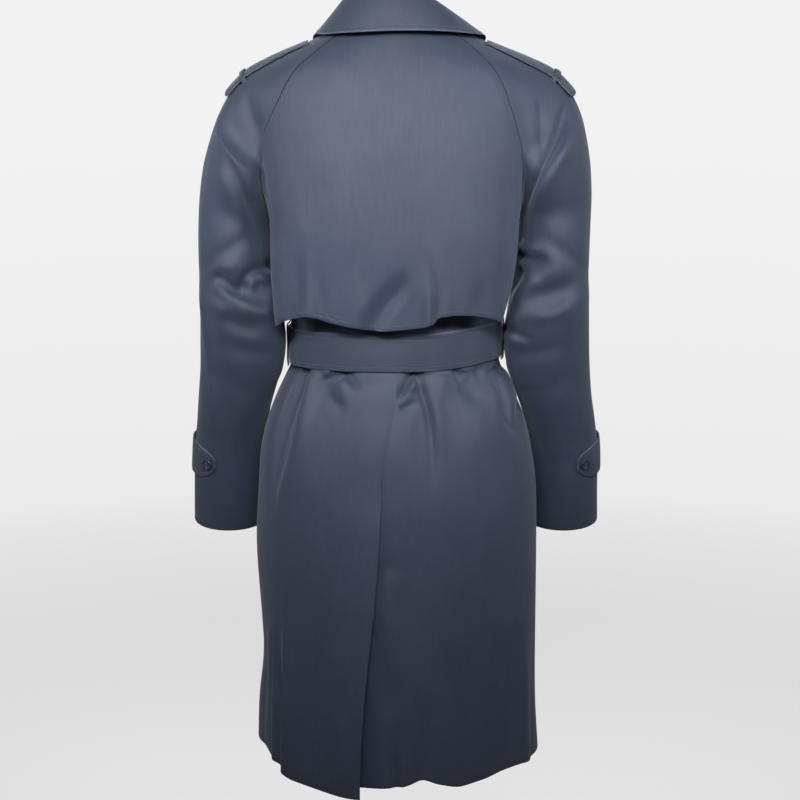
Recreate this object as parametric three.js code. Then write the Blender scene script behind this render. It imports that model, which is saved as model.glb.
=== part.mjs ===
import * as THREE from "three";

// Trench coat, worn and belted. Millimetres, +Z up, front towards -Y, the wearer's left towards +X.
// The origin is the middle of the neck opening at the height of the back neck seam.

// Driving sizes
const CLOTH = 1.6; // wall of one layer
const BELT_CLOTH = 2.4; // two layers and stiffening
const SEAM = 0.3; // between two pieces at a seam
const HEM = -1050; // back length from the neck seam
const UNDERARM = -268;
const BELT_TOP = -424;
const BELT_WIDTH = 50;
const BELT_RISE = 9; // the belt climbs on the wearer's right
const BREAK = -252; // where the lapels start to turn
const FRONT_OVERLAP = 95; // each front passes the middle by this much
const LAP_LIFT = 3.4; // the left front lies over the right one
const VENT_TOP = -637;
const VENT_UNDERLAP = 46;
const VENT_GAPE = 12; // the open edge of the vent stands off by this much at the hem
const FLAP_LIFT = 3.2;
const BUTTON_RADIUS = 11;
const BUTTON_THICK = 4.2;
const CUFF_BUTTON_RADIUS = 7.6;
const CUFF_BUTTON_THICK = 3.4;
const CUFF_TAB_HALF = 22; // half width of the tab
const CUFF_TAB_RISE = 106; // its middle line above the sleeve hem
const ARM_LENGTH = 550; // outline length of the sleeve below the underarm
const KEEPER_HALF = 31; // half length of the loop over an epaulette
const BELT_LOOP_HALF = 6; // half width of a belt loop

const BUCKLE_Y = -110.4; // rear face of the buckle
const BUCKLE = { halfWidth: 31, halfHeight: 33, bar: 6.5, corner: 4, thick: 3 };

// Mesh density
const BACK_COLUMNS = 11;
const FRONT_COLUMNS = 14;
const CAP_ROWS = 10;
const SLEEVE_COLUMNS = 8;

// Horizontal sections of the body. left, right: half widths. back, front: depths. square: 0 is an ellipse.
const BODY = [
  { z: 8, left: 70, right: 70, back: 57, front: 48, square: 0 },
  { z: 0, left: 76, right: 76, back: 60, front: 52, square: 0 },
  { z: -22, left: 104, right: 103, back: 73, front: 62, square: 0 },
  { z: -45, left: 146, right: 144, back: 84, front: 76, square: 0.01 },
  { z: -72, left: 206, right: 204, back: 94, front: 90, square: 0.02 },
  { z: -90, left: 222, right: 220, back: 99, front: 97, square: 0.02 },
  { z: -116, left: 218, right: 214, back: 105, front: 104, square: 0.03 },
  { z: -171, left: 204, right: 197, back: 114, front: 114, square: 0.04 },
  { z: -215, left: 193, right: 184, back: 118, front: 118, square: 0.05 },
  { z: -268, left: 178, right: 168, back: 115, front: 119, square: 0.05 },
  { z: -300, left: 172, right: 160, back: 110, front: 117, square: 0.05 },
  { z: -340, left: 164, right: 152, back: 103, front: 111, square: 0.05 },
  { z: -395, left: 154, right: 146, back: 94, front: 102, square: 0.03 },
  { z: -413, left: 150, right: 143, back: 91, front: 99, square: 0.02 },
  { z: -424, left: 150, right: 143, back: 91, front: 99, square: 0.02 },
  { z: -474, left: 150, right: 143, back: 91, front: 99, square: 0.02 },
  { z: -493, left: 158, right: 152, back: 99, front: 106, square: 0.02 },
  { z: -520, left: 171, right: 165, back: 108, front: 114, square: 0.02 },
  { z: -560, left: 186, right: 181, back: 120, front: 122, square: 0.02 },
  { z: -600, left: 195, right: 190, back: 128, front: 128, square: 0.02 },
  { z: -651, left: 199, right: 197, back: 134, front: 132, square: 0.02 },
  { z: -737, left: 203, right: 199, back: 138, front: 136, square: 0.02 },
  { z: -888, left: 196, right: 200, back: 141, front: 139, square: 0.02 },
  { z: -980, left: 203, right: 202, back: 144, front: 142, square: 0.02 },
  { z: -1060, left: 206, right: 207, back: 147, front: 145, square: 0.02 },
];

// Raglan seams where they leave the body, as distances from the middle.
const RAGLAN_BACK = [
  { z: 0, left: 52, right: 50 },
  { z: -12, left: 63, right: 60 },
  { z: -27, left: 77, right: 75 },
  { z: -50, left: 106, right: 103 },
  { z: -71, left: 131, right: 124 },
  { z: -92, left: 146, right: 137 },
  { z: -116, left: 158, right: 146 },
  { z: -149, left: 174, right: 157 },
  { z: -171, left: 181, right: 163 },
  { z: -215, left: 184, right: 170 },
  { z: -245, left: 182, right: 171 },
  { z: -268, left: 178, right: 168 },
];
const RAGLAN_FRONT = [
  { z: -22, left: 70, right: 70 },
  { z: -45, left: 90, right: 89 },
  { z: -80, left: 114, right: 112 },
  { z: -120, left: 134, right: 130 },
  { z: -165, left: 152, right: 146 },
  { z: -215, left: 168, right: 158 },
  { z: -250, left: 176, right: 167 },
  { z: -268, left: 178, right: 168 },
];

// Sleeve cap: arcs from the raglan seams over the ridge of the shoulder (left, right: x), neck to underarm.
// swing turns the start of the arc from along the body to straight back; seamReach and ridgeReach round it.
const CAP = [
  { left: 78, right: 78, y: -3, z: -8, swing: 0, seamReach: 18, ridgeReach: 16 },
  { left: 104, right: 104, y: -4, z: -27, swing: 0, seamReach: 24, ridgeReach: 24 },
  { left: 140, right: 140, y: -5, z: -45, swing: 2, seamReach: 30, ridgeReach: 34 },
  { left: 174, right: 177, y: -6, z: -60, swing: 6, seamReach: 34, ridgeReach: 44 },
  { left: 203, right: 210, y: -6, z: -76, swing: 12, seamReach: 40, ridgeReach: 56 },
  { left: 224, right: 232, y: -4, z: -97, swing: 22, seamReach: 42, ridgeReach: 62 },
  { left: 240, right: 247, y: -2, z: -124, swing: 38, seamReach: 48, ridgeReach: 72 },
  { left: 254, right: 257, y: 0, z: -158, swing: 57, seamReach: 60, ridgeReach: 79 },
  { left: 266, right: 264, y: 2, z: -199, swing: 76, seamReach: 75, ridgeReach: 84 },
  { left: 273, right: 267, y: 3, z: -243, swing: 90, seamReach: 87, ridgeReach: 87 },
];

// Sleeve rings below the underarm. left, right: x of the middle; wide, deep: half sizes; yaw, pitch, roll: tilt.
const ARM = [
  { z: -300, left: 225.5, right: 215.5, y: 5, wide: 50, deep: 65, yaw: 4, pitch: 0, roll: 9 },
  { z: -350, left: 223, right: 212, y: 7, wide: 52, deep: 63, yaw: 8, pitch: 1, roll: 4 },
  { z: -400, left: 219, right: 209.5, y: 8, wide: 56, deep: 60, yaw: 12, pitch: 3, roll: 2 },
  { z: -440, left: 217, right: 208, y: 5, wide: 60, deep: 55, yaw: 14, pitch: 7, roll: 0 },
  { z: -480, left: 220, right: 212, y: -4, wide: 59.5, deep: 51, yaw: 11, pitch: 12, roll: -2 },
  { z: -520, left: 229, right: 221, y: -18, wide: 55.5, deep: 50, yaw: 6, pitch: 15, roll: -4 },
  { z: -560, left: 237, right: 231.5, y: -32, wide: 52, deep: 49, yaw: 2, pitch: 16, roll: -3 },
  { z: -610, left: 243, right: 238.5, y: -47, wide: 52, deep: 48, yaw: 0, pitch: 16, roll: 0 },
  { z: -665, left: 246, right: 240, y: -61, wide: 53, deep: 47, yaw: 0, pitch: 15, roll: 0 },
  { z: -720, left: 248, right: 242, y: -75, wide: 54, deep: 46, yaw: 0, pitch: 14, roll: 0 },
];

// Storm flap: its own sections below the shoulder blades, its side edges and its waved lower edge.
const FLAP_SECTIONS = [
  { z: -171, left: 204, right: 197, back: 114, square: 0.04 },
  { z: -215, left: 197, right: 188, back: 118, square: 0.05 },
  { z: -268, left: 192, right: 182, back: 120, square: 0.06 },
  { z: -340, left: 190, right: 180, back: 120, square: 0.06 },
  { z: -420, left: 188, right: 172, back: 119, square: 0.06 },
];
const FLAP_SIDES = [
  { z: -171, left: 178, right: 160 },
  { z: -200, left: 178, right: 164 },
  { z: -233, left: 175, right: 165 },
  { z: -276, left: 172, right: 162 },
  { z: -323, left: 171, right: 159 },
  { z: -365, left: 169, right: 151 },
  { z: -410, left: 165, right: 139 },
];
const FLAP_EDGE = [
  { x: -145, z: -406 },
  { x: -119, z: -399 },
  { x: -87, z: -396 },
  { x: -62, z: -396 },
  { x: -50, z: -403 },
  { x: -25, z: -410 },
  { x: 25, z: -415 },
  { x: 50, z: -412 },
  { x: 89, z: -404 },
  { x: 117, z: -400 },
  { x: 132, z: -400 },
  { x: 168, z: -412 },
];

// Soft folds: turn is the angle round the body from the middle of the back, in degrees.
const BODY_FOLDS = [
  { turn: 59, top: -476, bottom: -690, wide: 11, depth: -8 },
  { turn: 36, top: -476, bottom: -545, wide: 12, depth: -5 },
  { turn: 20, top: -478, bottom: -600, wide: 22, depth: 4 },
  { turn: -11, top: -476, bottom: -640, wide: 12, depth: -5 },
  { turn: -38, top: -476, bottom: -535, wide: 12, depth: -4 },
  { turn: -61, top: -478, bottom: -580, wide: 10, depth: -7 },
  { turn: 66, top: -850, bottom: -1100, wide: 9, depth: 4 },
  { turn: 118, top: -476, bottom: -640, wide: 13, depth: -6 },
  { turn: 142, top: -478, bottom: -590, wide: 13, depth: -5 },
  { turn: -114, top: -476, bottom: -660, wide: 13, depth: -7 },
  { turn: -140, top: -478, bottom: -570, wide: 12, depth: -5 },
  { turn: 126, top: -423, bottom: -330, wide: 14, depth: -4 },
  { turn: -124, top: -423, bottom: -320, wide: 14, depth: -4 },
  { turn: 30, top: -423, bottom: -350, wide: 16, depth: -4 },
  { turn: -25, top: -423, bottom: -340, wide: 16, depth: -4 },
];
const FLAP_FOLDS = [
  { x: 126, top: -240, bottom: -440, wide: 12, depth: 7 },
  { x: 146, top: -300, bottom: -440, wide: 10, depth: -3 },
  { x: -8, top: -320, bottom: -440, wide: 30, depth: -4 },
  { x: -50, top: -290, bottom: -440, wide: 14, depth: 7 },
  { x: -70, top: -300, bottom: -440, wide: 12, depth: -3 },
];
// Elbow and shoulder folds: at is the height, side is 0 at the back of the arm, 1 outside, -1 inside.
const SLEEVE_FOLDS = [
  { at: -372, side: -0.3, wide: 14, span: 0.9, depth: -8, slope: 26 },
  { at: -398, side: -0.2, wide: 12, span: 1.0, depth: 5, slope: 20 },
  { at: -318, side: 0.1, wide: 13, span: 0.8, depth: -4, slope: -46 },
  { at: -455, side: -0.4, wide: 12, span: 0.6, depth: -4, slope: 18 },
];

// Collar: roll line and outer edge round the neck, turn in degrees from the middle of the back.
const COLLAR = [
  { turn: 0, rollX: 0, rollY: 70, rollZ: 35, edgeX: 0, edgeY: 98, edgeZ: -24 },
  { turn: 30, rollX: 41, rollY: 61, rollZ: 33, edgeX: 60, edgeY: 90, edgeZ: -26 },
  { turn: 60, rollX: 68, rollY: 36, rollZ: 26, edgeX: 104, edgeY: 56, edgeZ: -28 },
  { turn: 85, rollX: 79, rollY: 6, rollZ: 14, edgeX: 119, edgeY: 8, edgeZ: -26 },
  { turn: 110, rollX: 77, rollY: -25, rollZ: -2, edgeX: 120, edgeY: -42, edgeZ: -34 },
  { turn: 130, rollX: 69, rollY: -50, rollZ: -20, edgeX: 112, edgeY: -80, edgeZ: -60 },
  { turn: 150, rollX: 57, rollY: -76, rollZ: -43, edgeX: 97, edgeY: -102, edgeZ: -95 },
];

// Lapels: roll line and outer edge, towards the wearer's own side. The right one shows above the left roll line.
const LAPELS = {
  left: [
    { rollX: -92, rollZ: -249, edgeX: -89, edgeZ: -247 },
    { rollX: -70, rollZ: -219, edgeX: -52, edgeZ: -224 },
    { rollX: -44, rollZ: -183, edgeX: -4, edgeZ: -195 },
    { rollX: -18, rollZ: -148, edgeX: 42, edgeZ: -160 },
    { rollX: 14, rollZ: -104, edgeX: 84, edgeZ: -128 },
    { rollX: 50, rollZ: -55, edgeX: 104, edgeZ: -100 },
  ],
  right: [
    { rollX: 5, rollZ: -116, edgeX: 40, edgeZ: -163 },
    { rollX: 18, rollZ: -98, edgeX: 68, edgeZ: -142 },
    { rollX: 33, rollZ: -78, edgeX: 92, edgeZ: -118 },
    { rollX: 50, rollZ: -55, edgeX: 104, edgeZ: -100 },
  ],
};
const GORGE = { x: 54, z: -50.2 }; // where the roll line reaches the neck seam
const NECK_FRONT = -26; // height where the front raglan seam reaches the neck

const EPAULETTE = [
  { at: 0.165, half: 25, lift: 1.1 },
  { at: 0.24, half: 25, lift: 2.6 },
  { at: 0.33, half: 24.5, lift: 2.8 },
  { at: 0.42, half: 24, lift: 3.2 },
  { at: 0.48, half: 23.5, lift: 4.5 },
  { at: 0.53, half: 22.5, lift: 7 },
  { at: 0.57, half: 18, lift: 10 },
  { at: 0.59, half: 10, lift: 12 },
];

const FRONT_BUTTON_HEIGHTS = [-290, -388, -548, -672];
const FRONT_BUTTON_X = 66;

// Colours of the cloth as seen, light parts and shaded parts alike navy
const NAVY = 0x2b3244;
const NAVY_DARK = 0x1b2030;
const HORN = 0x15171d;

const degrees = THREE.MathUtils.degToRad;
const clamp = THREE.MathUtils.clamp;
const vec = (x, y, z) => new THREE.Vector3(x, y, z);
const smooth = (from, to, value) => THREE.MathUtils.smoothstep((value - from) / (to - from), 0, 1);

/** Value of one column at a key, by a smooth curve through the rows. */
function read(table, key, column, at) {
  const rising = table[table.length - 1][key] > table[0][key];
  const rows = rising ? table : [...table].reverse();
  const value = clamp(at, rows[0][key], rows[rows.length - 1][key]);
  let i = 0;
  while (i < rows.length - 2 && value > rows[i + 1][key]) i += 1;
  const span = rows[i + 1][key] - rows[i][key];
  const t = (value - rows[i][key]) / span;
  const slopeAt = (n) => {
    const before = rows[Math.max(n - 1, 0)];
    const after = rows[Math.min(n + 1, rows.length - 1)];
    return (after[column] - before[column]) / (after[key] - before[key]);
  };
  const a = rows[i][column];
  const b = rows[i + 1][column];
  const t2 = t * t;
  const t3 = t2 * t;
  return (2 * t3 - 3 * t2 + 1) * a + (t3 - 2 * t2 + t) * span * slopeAt(i)
    + (3 * t2 - 2 * t3) * b + (t3 - t2) * span * slopeAt(i + 1);
}

/** Point and outward normal of a flattened oval section. */
function oval(width, depth, square, turn) {
  const x = width * (Math.sin(turn) + square * Math.sin(3 * turn)) / (1 - square);
  const y = depth * (Math.cos(turn) - square * Math.cos(3 * turn)) / (1 - square);
  const dx = width * (Math.cos(turn) + 3 * square * Math.cos(3 * turn));
  const dy = -depth * (Math.sin(turn) - 3 * square * Math.sin(3 * turn));
  return { x, y, normal: vec(-dy, dx, 0).normalize() };
}

/** Soft ridge or trough across a fold that fades in and out along its length. */
function foldHeight(fold, across, z) {
  const low = Math.min(fold.top, fold.bottom);
  const high = Math.max(fold.top, fold.bottom);
  if (z < low || z > high) return 0;
  const along = Math.abs((z - fold.top) / (fold.bottom - fold.top));
  const fade = Math.sin(Math.PI * Math.sqrt(along));
  return fold.depth * Math.exp(-((across / fold.wide) ** 2)) * fade;
}

/** A point of the body, lift outside its outer face. */
function bodyPoint(z, turn, lift = 0) {
  const side = Math.sin(turn) >= 0 ? "left" : "right";
  const face = Math.cos(turn) >= 0 ? "back" : "front";
  const width = read(BODY, "z", side, z);
  const depth = read(BODY, "z", face, z);
  const at = oval(width, depth, read(BODY, "z", "square", z), turn);
  let fold = 0;
  for (const row of BODY_FOLDS) {
    let gap = turn - degrees(row.turn);
    gap -= 2 * Math.PI * Math.round(gap / (2 * Math.PI));
    fold += foldHeight(row, gap * (width + depth) / 2, z);
  }
  return vec(at.x, at.y, z).addScaledVector(at.normal, lift + fold);
}

/** Turn at which the body, at this height, is x from the middle, on the back or the front. */
function turnAt(z, x, front = false) {
  const width = read(BODY, "z", x >= 0 ? "left" : "right", z);
  const square = read(BODY, "z", "square", z);
  const wanted = Math.min(Math.abs(x) / width, 1);
  let low = 0;
  let high = Math.PI / 2;
  for (let i = 0; i < 40; i += 1) {
    const middle = (low + high) / 2;
    const reach = (Math.sin(middle) + square * Math.sin(3 * middle)) / (1 - square);
    if (reach < wanted) low = middle; else high = middle;
  }
  const turn = (front ? Math.PI - low : low) * (x >= 0 ? 1 : -1);
  return turn;
}

const turnLength = (z) => read(BODY, "z", "left", z);

/** Direction of a line of points at one of them. */
function slope(points, k) {
  const last = points.length - 1;
  if (last < 2) return points[last].clone().sub(points[0]);
  const fromEnd = (a, b, c) => {
    const near = b.clone().sub(a);
    const far = c.clone().sub(b);
    const share = near.length() / (near.length() + far.length());
    return near.normalize().multiplyScalar(1 + share).addScaledVector(far.normalize(), -share);
  };
  if (k === 0) return fromEnd(points[0], points[1], points[2]);
  if (k === last) return fromEnd(points[last], points[last - 1], points[last - 2]).negate();
  return points[k + 1].clone().sub(points[k - 1]);
}

/** A closed cloth wall under a grid of outer points. */
function cloth(rows, wall = CLOTH, core = (p) => vec(0, 0, p.z)) {
  const m = rows.length;
  const n = rows[0].length;
  const normals = rows.map((row, i) => row.map((p, j) => {
    const along = slope(rows.map((other) => other[j]), i);
    const across = slope(row, j);
    return across.cross(along).normalize();
  }));
  let outward = 0;
  rows.forEach((row, i) => row.forEach((p, j) => {
    outward += normals[i][j].dot(p.clone().sub(core(p)).normalize());
  }));
  const sense = Math.sign(outward);
  const positions = [];
  rows.forEach((row, i) => row.forEach((p, j) => {
    const inner = p.clone().addScaledVector(normals[i][j], -sense * wall);
    positions.push(p.x, p.y, p.z, inner.x, inner.y, inner.z);
  }));
  const outer = (i, j) => (i * n + j) * 2;
  const inner = (i, j) => outer(i, j) + 1;
  const faces = [];
  const face = (a, b, c) => faces.push(...(sense > 0 ? [a, b, c] : [a, c, b]));
  for (let i = 0; i < m - 1; i += 1) {
    for (let j = 0; j < n - 1; j += 1) {
      face(outer(i, j), outer(i, j + 1), outer(i + 1, j + 1));
      face(outer(i, j), outer(i + 1, j + 1), outer(i + 1, j));
      face(inner(i, j), inner(i + 1, j + 1), inner(i, j + 1));
      face(inner(i, j), inner(i + 1, j), inner(i + 1, j + 1));
    }
  }
  for (let j = 0; j < n - 1; j += 1) {
    face(outer(0, j), inner(0, j), outer(0, j + 1));
    face(outer(0, j + 1), inner(0, j), inner(0, j + 1));
    face(outer(m - 1, j), outer(m - 1, j + 1), inner(m - 1, j));
    face(outer(m - 1, j + 1), inner(m - 1, j + 1), inner(m - 1, j));
  }
  for (let i = 0; i < m - 1; i += 1) {
    face(outer(i, 0), outer(i + 1, 0), inner(i, 0));
    face(outer(i + 1, 0), inner(i + 1, 0), inner(i, 0));
    face(outer(i, n - 1), inner(i, n - 1), outer(i + 1, n - 1));
    face(outer(i + 1, n - 1), inner(i, n - 1), inner(i + 1, n - 1));
  }
  const geometry = new THREE.BufferGeometry();
  geometry.setAttribute("position", new THREE.Float32BufferAttribute(positions, 3));
  geometry.setIndex(faces);
  return geometry;
}

/** Heights from one to another in steps of about one size. */
function heights(from, to, step) {
  const count = Math.max(1, Math.round(Math.abs(to - from) / step));
  return Array.from({ length: count + 1 }, (_, i) => from + (to - from) * i / count);
}

const BACK_CAP = heights(0, UNDERARM, -UNDERARM / CAP_ROWS);
const FRONT_CAP = heights(NECK_FRONT, UNDERARM, (NECK_FRONT - UNDERARM) / CAP_ROWS);
const BELOW_CAP = [
  ...heights(UNDERARM, BELT_TOP + BELT_RISE + 2, 29).slice(1),
  BELT_TOP,
  ...heights(BELT_TOP - BELT_WIDTH, -600, 21),
  VENT_TOP,
  ...heights(-655, HEM, 66),
];
const BACK_HEIGHTS = [...BACK_CAP, ...BELOW_CAP];
const FRONT_HEIGHTS = [...FRONT_CAP, ...BELOW_CAP];

/** Middle of the back seam, which drifts to the wearer's left towards the vent. */
function backSeamX(z) {
  return 23 * smooth(-474, VENT_TOP, z) + 28 * smooth(VENT_TOP, HEM, z);
}

const ventOpen = (z) => smooth(VENT_TOP, VENT_TOP - 18, z);
const ventDip = (z) => smooth(VENT_TOP + 40, VENT_TOP, z);

/** One half of the back, from the middle seam to the side or raglan seam. */
function backPanel(side) {
  const left = side > 0;
  const rows = BACK_HEIGHTS.map((height, index) => {
    const edge = height >= UNDERARM
      ? turnAt(height, side * read(RAGLAN_BACK, "z", left ? "left" : "right", height))
      : side * Math.PI / 2;
    const gap = SEAM / 2 / turnLength(height);
    const last = edge - side * gap;
    const reach = left ? 0 : VENT_UNDERLAP * ventOpen(height);
    const first = turnAt(height, backSeamX(height) + reach) + side * gap;
    const isHem = index === BACK_HEIGHTS.length - 1;
    return Array.from({ length: BACK_COLUMNS + 1 }, (_, i) => {
      const turn = first + (last - first) * i / BACK_COLUMNS;
      const fromEdge = Math.abs(turn - first) * turnLength(height);
      const opening = ventOpen(height) * (0.35 + 0.65 * smooth(VENT_TOP, HEM, height));
      const lift = left
        ? VENT_GAPE * opening * Math.exp(-((fromEdge / 60) ** 2))
        : -2.4 * ventDip(height) * (1 - smooth(reach - 4, reach + 26, fromEdge));
      const drop = isHem && left ? 12 * Math.exp(-((fromEdge / 70) ** 2)) : 0;
      const point = bodyPoint(height, turn, lift);
      point.z -= drop;
      return point;
    });
  });
  return cloth(rows);
}

/** Where a front ends at a height: the neck, the roll line or the lapped edge. */
function frontEdge(z) {
  if (z < BREAK) return -FRONT_OVERLAP;
  if (z > GORGE.z) return THREE.MathUtils.mapLinear(z, GORGE.z, NECK_FRONT, GORGE.x, 65);
  return THREE.MathUtils.mapLinear(z, BREAK, GORGE.z, -FRONT_OVERLAP, GORGE.x);
}

/** Lift of a front panel: the left one lies over the right one where they lap. */
function frontLift(side, x) {
  return side > 0 ? LAP_LIFT * smooth(FRONT_OVERLAP + 32, FRONT_OVERLAP + 4, x) : 0;
}

/** One front, from the side or raglan seam to the lapped edge or the roll line. */
function frontPanel(side) {
  const left = side > 0;
  const rows = FRONT_HEIGHTS.map((height) => {
    const seam = height >= UNDERARM
      ? turnAt(height, side * read(RAGLAN_FRONT, "z", left ? "left" : "right", height), true)
      : side * Math.PI / 2;
    const gap = SEAM / 2 / turnLength(height);
    const first = seam + side * gap;
    const edge = side * frontEdge(height);
    let last = turnAt(height, edge, true);
    if (left && last < 0) last += 2 * Math.PI;
    if (!left && last > 0) last -= 2 * Math.PI;
    return Array.from({ length: FRONT_COLUMNS + 1 }, (_, i) => {
      const turn = first + (last - first) * i / FRONT_COLUMNS;
      const x = bodyPoint(height, turn).x;
      return bodyPoint(height, turn, frontLift(side, x));
    });
  });
  return cloth(rows);
}

/** Point of a front at x and z, lift outside its face. */
function frontPoint(side, x, z, lift) {
  return bodyPoint(z, turnAt(z, side * x, true), lift + frontLift(side, side * x));
}

/** The turned part of the front: from the roll line to the outer edge. */
function lapel(side) {
  const table = LAPELS[side > 0 ? "left" : "right"].map((row, index) => ({ ...row, index }));
  const steps = 2 * (table.length - 1);
  const rows = heights(0, table.length - 1, 0.5).slice(0, steps + 1).map((key) => {
    const at = (column) => read(table, "index", column, key);
    return heights(0, 1, 0.25).map((t) => {
      const x = at("rollX") + (at("edgeX") - at("rollX")) * t;
      const z = at("rollZ") + (at("edgeZ") - at("rollZ")) * t;
      const bow = Math.sin(Math.PI * Math.min(t * 1.4, 0.62)) * Math.min(1, side > 0 ? key : 1);
      return frontPoint(side, x, z, SEAM + CLOTH + 0.6 + 2.6 * bow);
    });
  });
  return cloth(rows);
}

/** One arc of a sleeve as a Bezier curve: from the seam (0) to the overarm ridge (1). */
function sleeveArc(side, s, part) {
  const name = side > 0 ? "left" : "right";
  const back = part === "back";
  if (s <= 1) {
    const table = CAP.map((row, index) => ({ ...row, index }));
    const at = (column) => read(table, "index", column, s * (CAP.length - 1));
    const height = back ? UNDERARM * s : NECK_FRONT + (UNDERARM - NECK_FRONT) * s;
    const seams = back ? RAGLAN_BACK : RAGLAN_FRONT;
    const turn = turnAt(height, side * read(seams, "z", name, height), !back);
    const gap = SEAM / 2 / turnLength(height) * (back ? side : -side) * (1 - smooth(0.85, 1, s));
    const start = bodyPoint(height, turn + gap);
    const along = bodyPoint(height, turn + gap + side * 0.02).sub(bodyPoint(height, turn + gap - side * 0.02));
    along.normalize().multiplyScalar(back ? 1 : -1);
    const aim = vec(side * 0.06, back ? 1 : -1, 0);
    const swing = smooth(0, 1, at("swing") / 90);
    const direction = along.lerp(aim, swing).normalize();
    const closing = SEAM * smooth(0.85, 1, s) * (back ? 1 : -1);
    start.y += closing;
    start.x += side * SEAM * smooth(0.55, 1, s);
    const ridge = vec(side * at(name), at("y") + (back ? SEAM / 2 : -SEAM / 2), at("z"));
    return [
      start,
      start.clone().addScaledVector(direction, at("seamReach")),
      ridge.clone().add(vec(0, (back ? 1 : -1) * at("ridgeReach"), 0)),
      ridge,
    ];
  }
  const last = CAP[CAP.length - 1];
  const table = [...armStart(last, name), ...ARM].map((row, index) => ({ ...row, index }));
  const at = (column) => read(table, "index", column, (s - 1) * ARM.length);
  const middle = vec(side * at(name), at("y"), at("z"));
  const tilt = new THREE.Euler(-degrees(at("pitch")), side * degrees(-at("roll")), side * degrees(-at("yaw")), "ZXY");
  const out = vec(side, 0, 0).applyEuler(tilt);
  const rear = vec(0, 1, 0).applyEuler(tilt);
  const sign = back ? 1 : -1;
  const hug = rear.clone().multiplyScalar(sign * at("deep") * 4 / 3);
  const start = middle.clone().addScaledVector(out, -at("wide")).addScaledVector(rear, sign * SEAM / 2);
  const ridge = middle.clone().addScaledVector(out, at("wide")).addScaledVector(rear, sign * SEAM / 2);
  return [start, start.clone().add(hug), ridge.clone().add(hug), ridge];
}

/** The first arm ring, which closes the cap at the underarm. */
function armStart(last, name) {
  const inner = read(BODY, "z", name, UNDERARM);
  const wide = Math.hypot(last[name] - inner, last.z - UNDERARM) / 2;
  const middle = { left: 0, right: 0 };
  for (const key of ["left", "right"]) middle[key] = (last[key] + read(BODY, "z", key, UNDERARM)) / 2;
  const roll = THREE.MathUtils.radToDeg(Math.atan2(last.z - UNDERARM, last[name] - inner));
  return [{ z: (last.z + UNDERARM) / 2, ...middle, y: 1.5, wide, deep: 65.2, yaw: 1, pitch: 0, roll }];
}

/** Sleeve surface point: s runs from neck (0) over the underarm level (1) to the cuff (2). */
function sleevePoint(side, s, part, t, lift = 0) {
  const arc = sleeveArc(side, s, part);
  const curve = new THREE.CubicBezierCurve3(...arc);
  const point = curve.getPoint(t);
  const back = part === "back";
  const tangent = curve.getTangent(clamp(t, 0.001, 0.999));
  const next = new THREE.CubicBezierCurve3(...sleeveArc(side, Math.min(s + 0.01, 2), part)).getPoint(t);
  const before = new THREE.CubicBezierCurve3(...sleeveArc(side, Math.max(s - 0.01, 0), part)).getPoint(t);
  const normal = tangent.clone().cross(next.sub(before)).normalize().multiplyScalar((back ? 1 : -1) * side);
  let fold = 0;
  if (back) {
    for (const row of SLEEVE_FOLDS) {
      const across = point.z - row.at - row.slope * ((t * 2 - 1) - row.side);
      const spread = ((t * 2 - 1) - row.side) / row.span;
      fold += row.depth * Math.exp(-((across / row.wide) ** 2)) * Math.exp(-(spread ** 2) * 1.6);
    }
    fold *= Math.sin(Math.PI * t);
  }
  return point.addScaledVector(normal, lift + fold);
}

/** Middle of the sleeve near a point, to tell outside from inside. */
function sleeveCore(side) {
  return (p) => {
    const name = side > 0 ? "left" : "right";
    const z = clamp(p.z, ARM[ARM.length - 1].z, ARM[0].z);
    const inUpper = p.z > ARM[0].z;
    return vec(side * (inUpper ? 150 : read(ARM, "z", name, z)), read(ARM, "z", "y", z), Math.min(p.z, -160));
  };
}

function sleevePiece(side, part) {
  const stations = [...heights(0, 1, 1 / CAP_ROWS).slice(0, -1), ...heights(1, 2, 1 / 17)];
  const rows = stations.map((s) => Array.from(
    { length: SLEEVE_COLUMNS + 1 },
    (_, j) => sleevePoint(side, s, part, j / SLEEVE_COLUMNS),
  ));
  return cloth(rows, CLOTH, sleeveCore(side));
}

/** The flap's own surface at x and z. */
function flapPoint(x, z, lift = FLAP_LIFT) {
  const side = x >= 0 ? "left" : "right";
  let point;
  const onBody = bodyPoint(z, turnAt(z, x), lift);
  const free = smooth(-171, -215, z);
  if (free > 0) {
    const width = read(FLAP_SECTIONS, "z", side, z);
    const square = read(FLAP_SECTIONS, "z", "square", z);
    let low = 0;
    let high = Math.PI / 2;
    for (let i = 0; i < 40; i += 1) {
      const middle = (low + high) / 2;
      const reach = (Math.sin(middle) + square * Math.sin(3 * middle)) / (1 - square);
      if (reach < Math.abs(x) / width) low = middle; else high = middle;
    }
    const at = oval(width, read(FLAP_SECTIONS, "z", "back", z), square, low);
    let fold = 0;
    for (const row of FLAP_FOLDS) {
      const along = smooth(row.top, row.bottom, z);
      fold += row.depth * along * Math.exp(-(((x - row.x) / row.wide) ** 2));
    }
    const hung = vec(x, at.y + lift + fold, z);
    point = onBody.clone().lerp(hung, free);
  } else {
    point = onBody;
  }
  return point;
}

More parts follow.
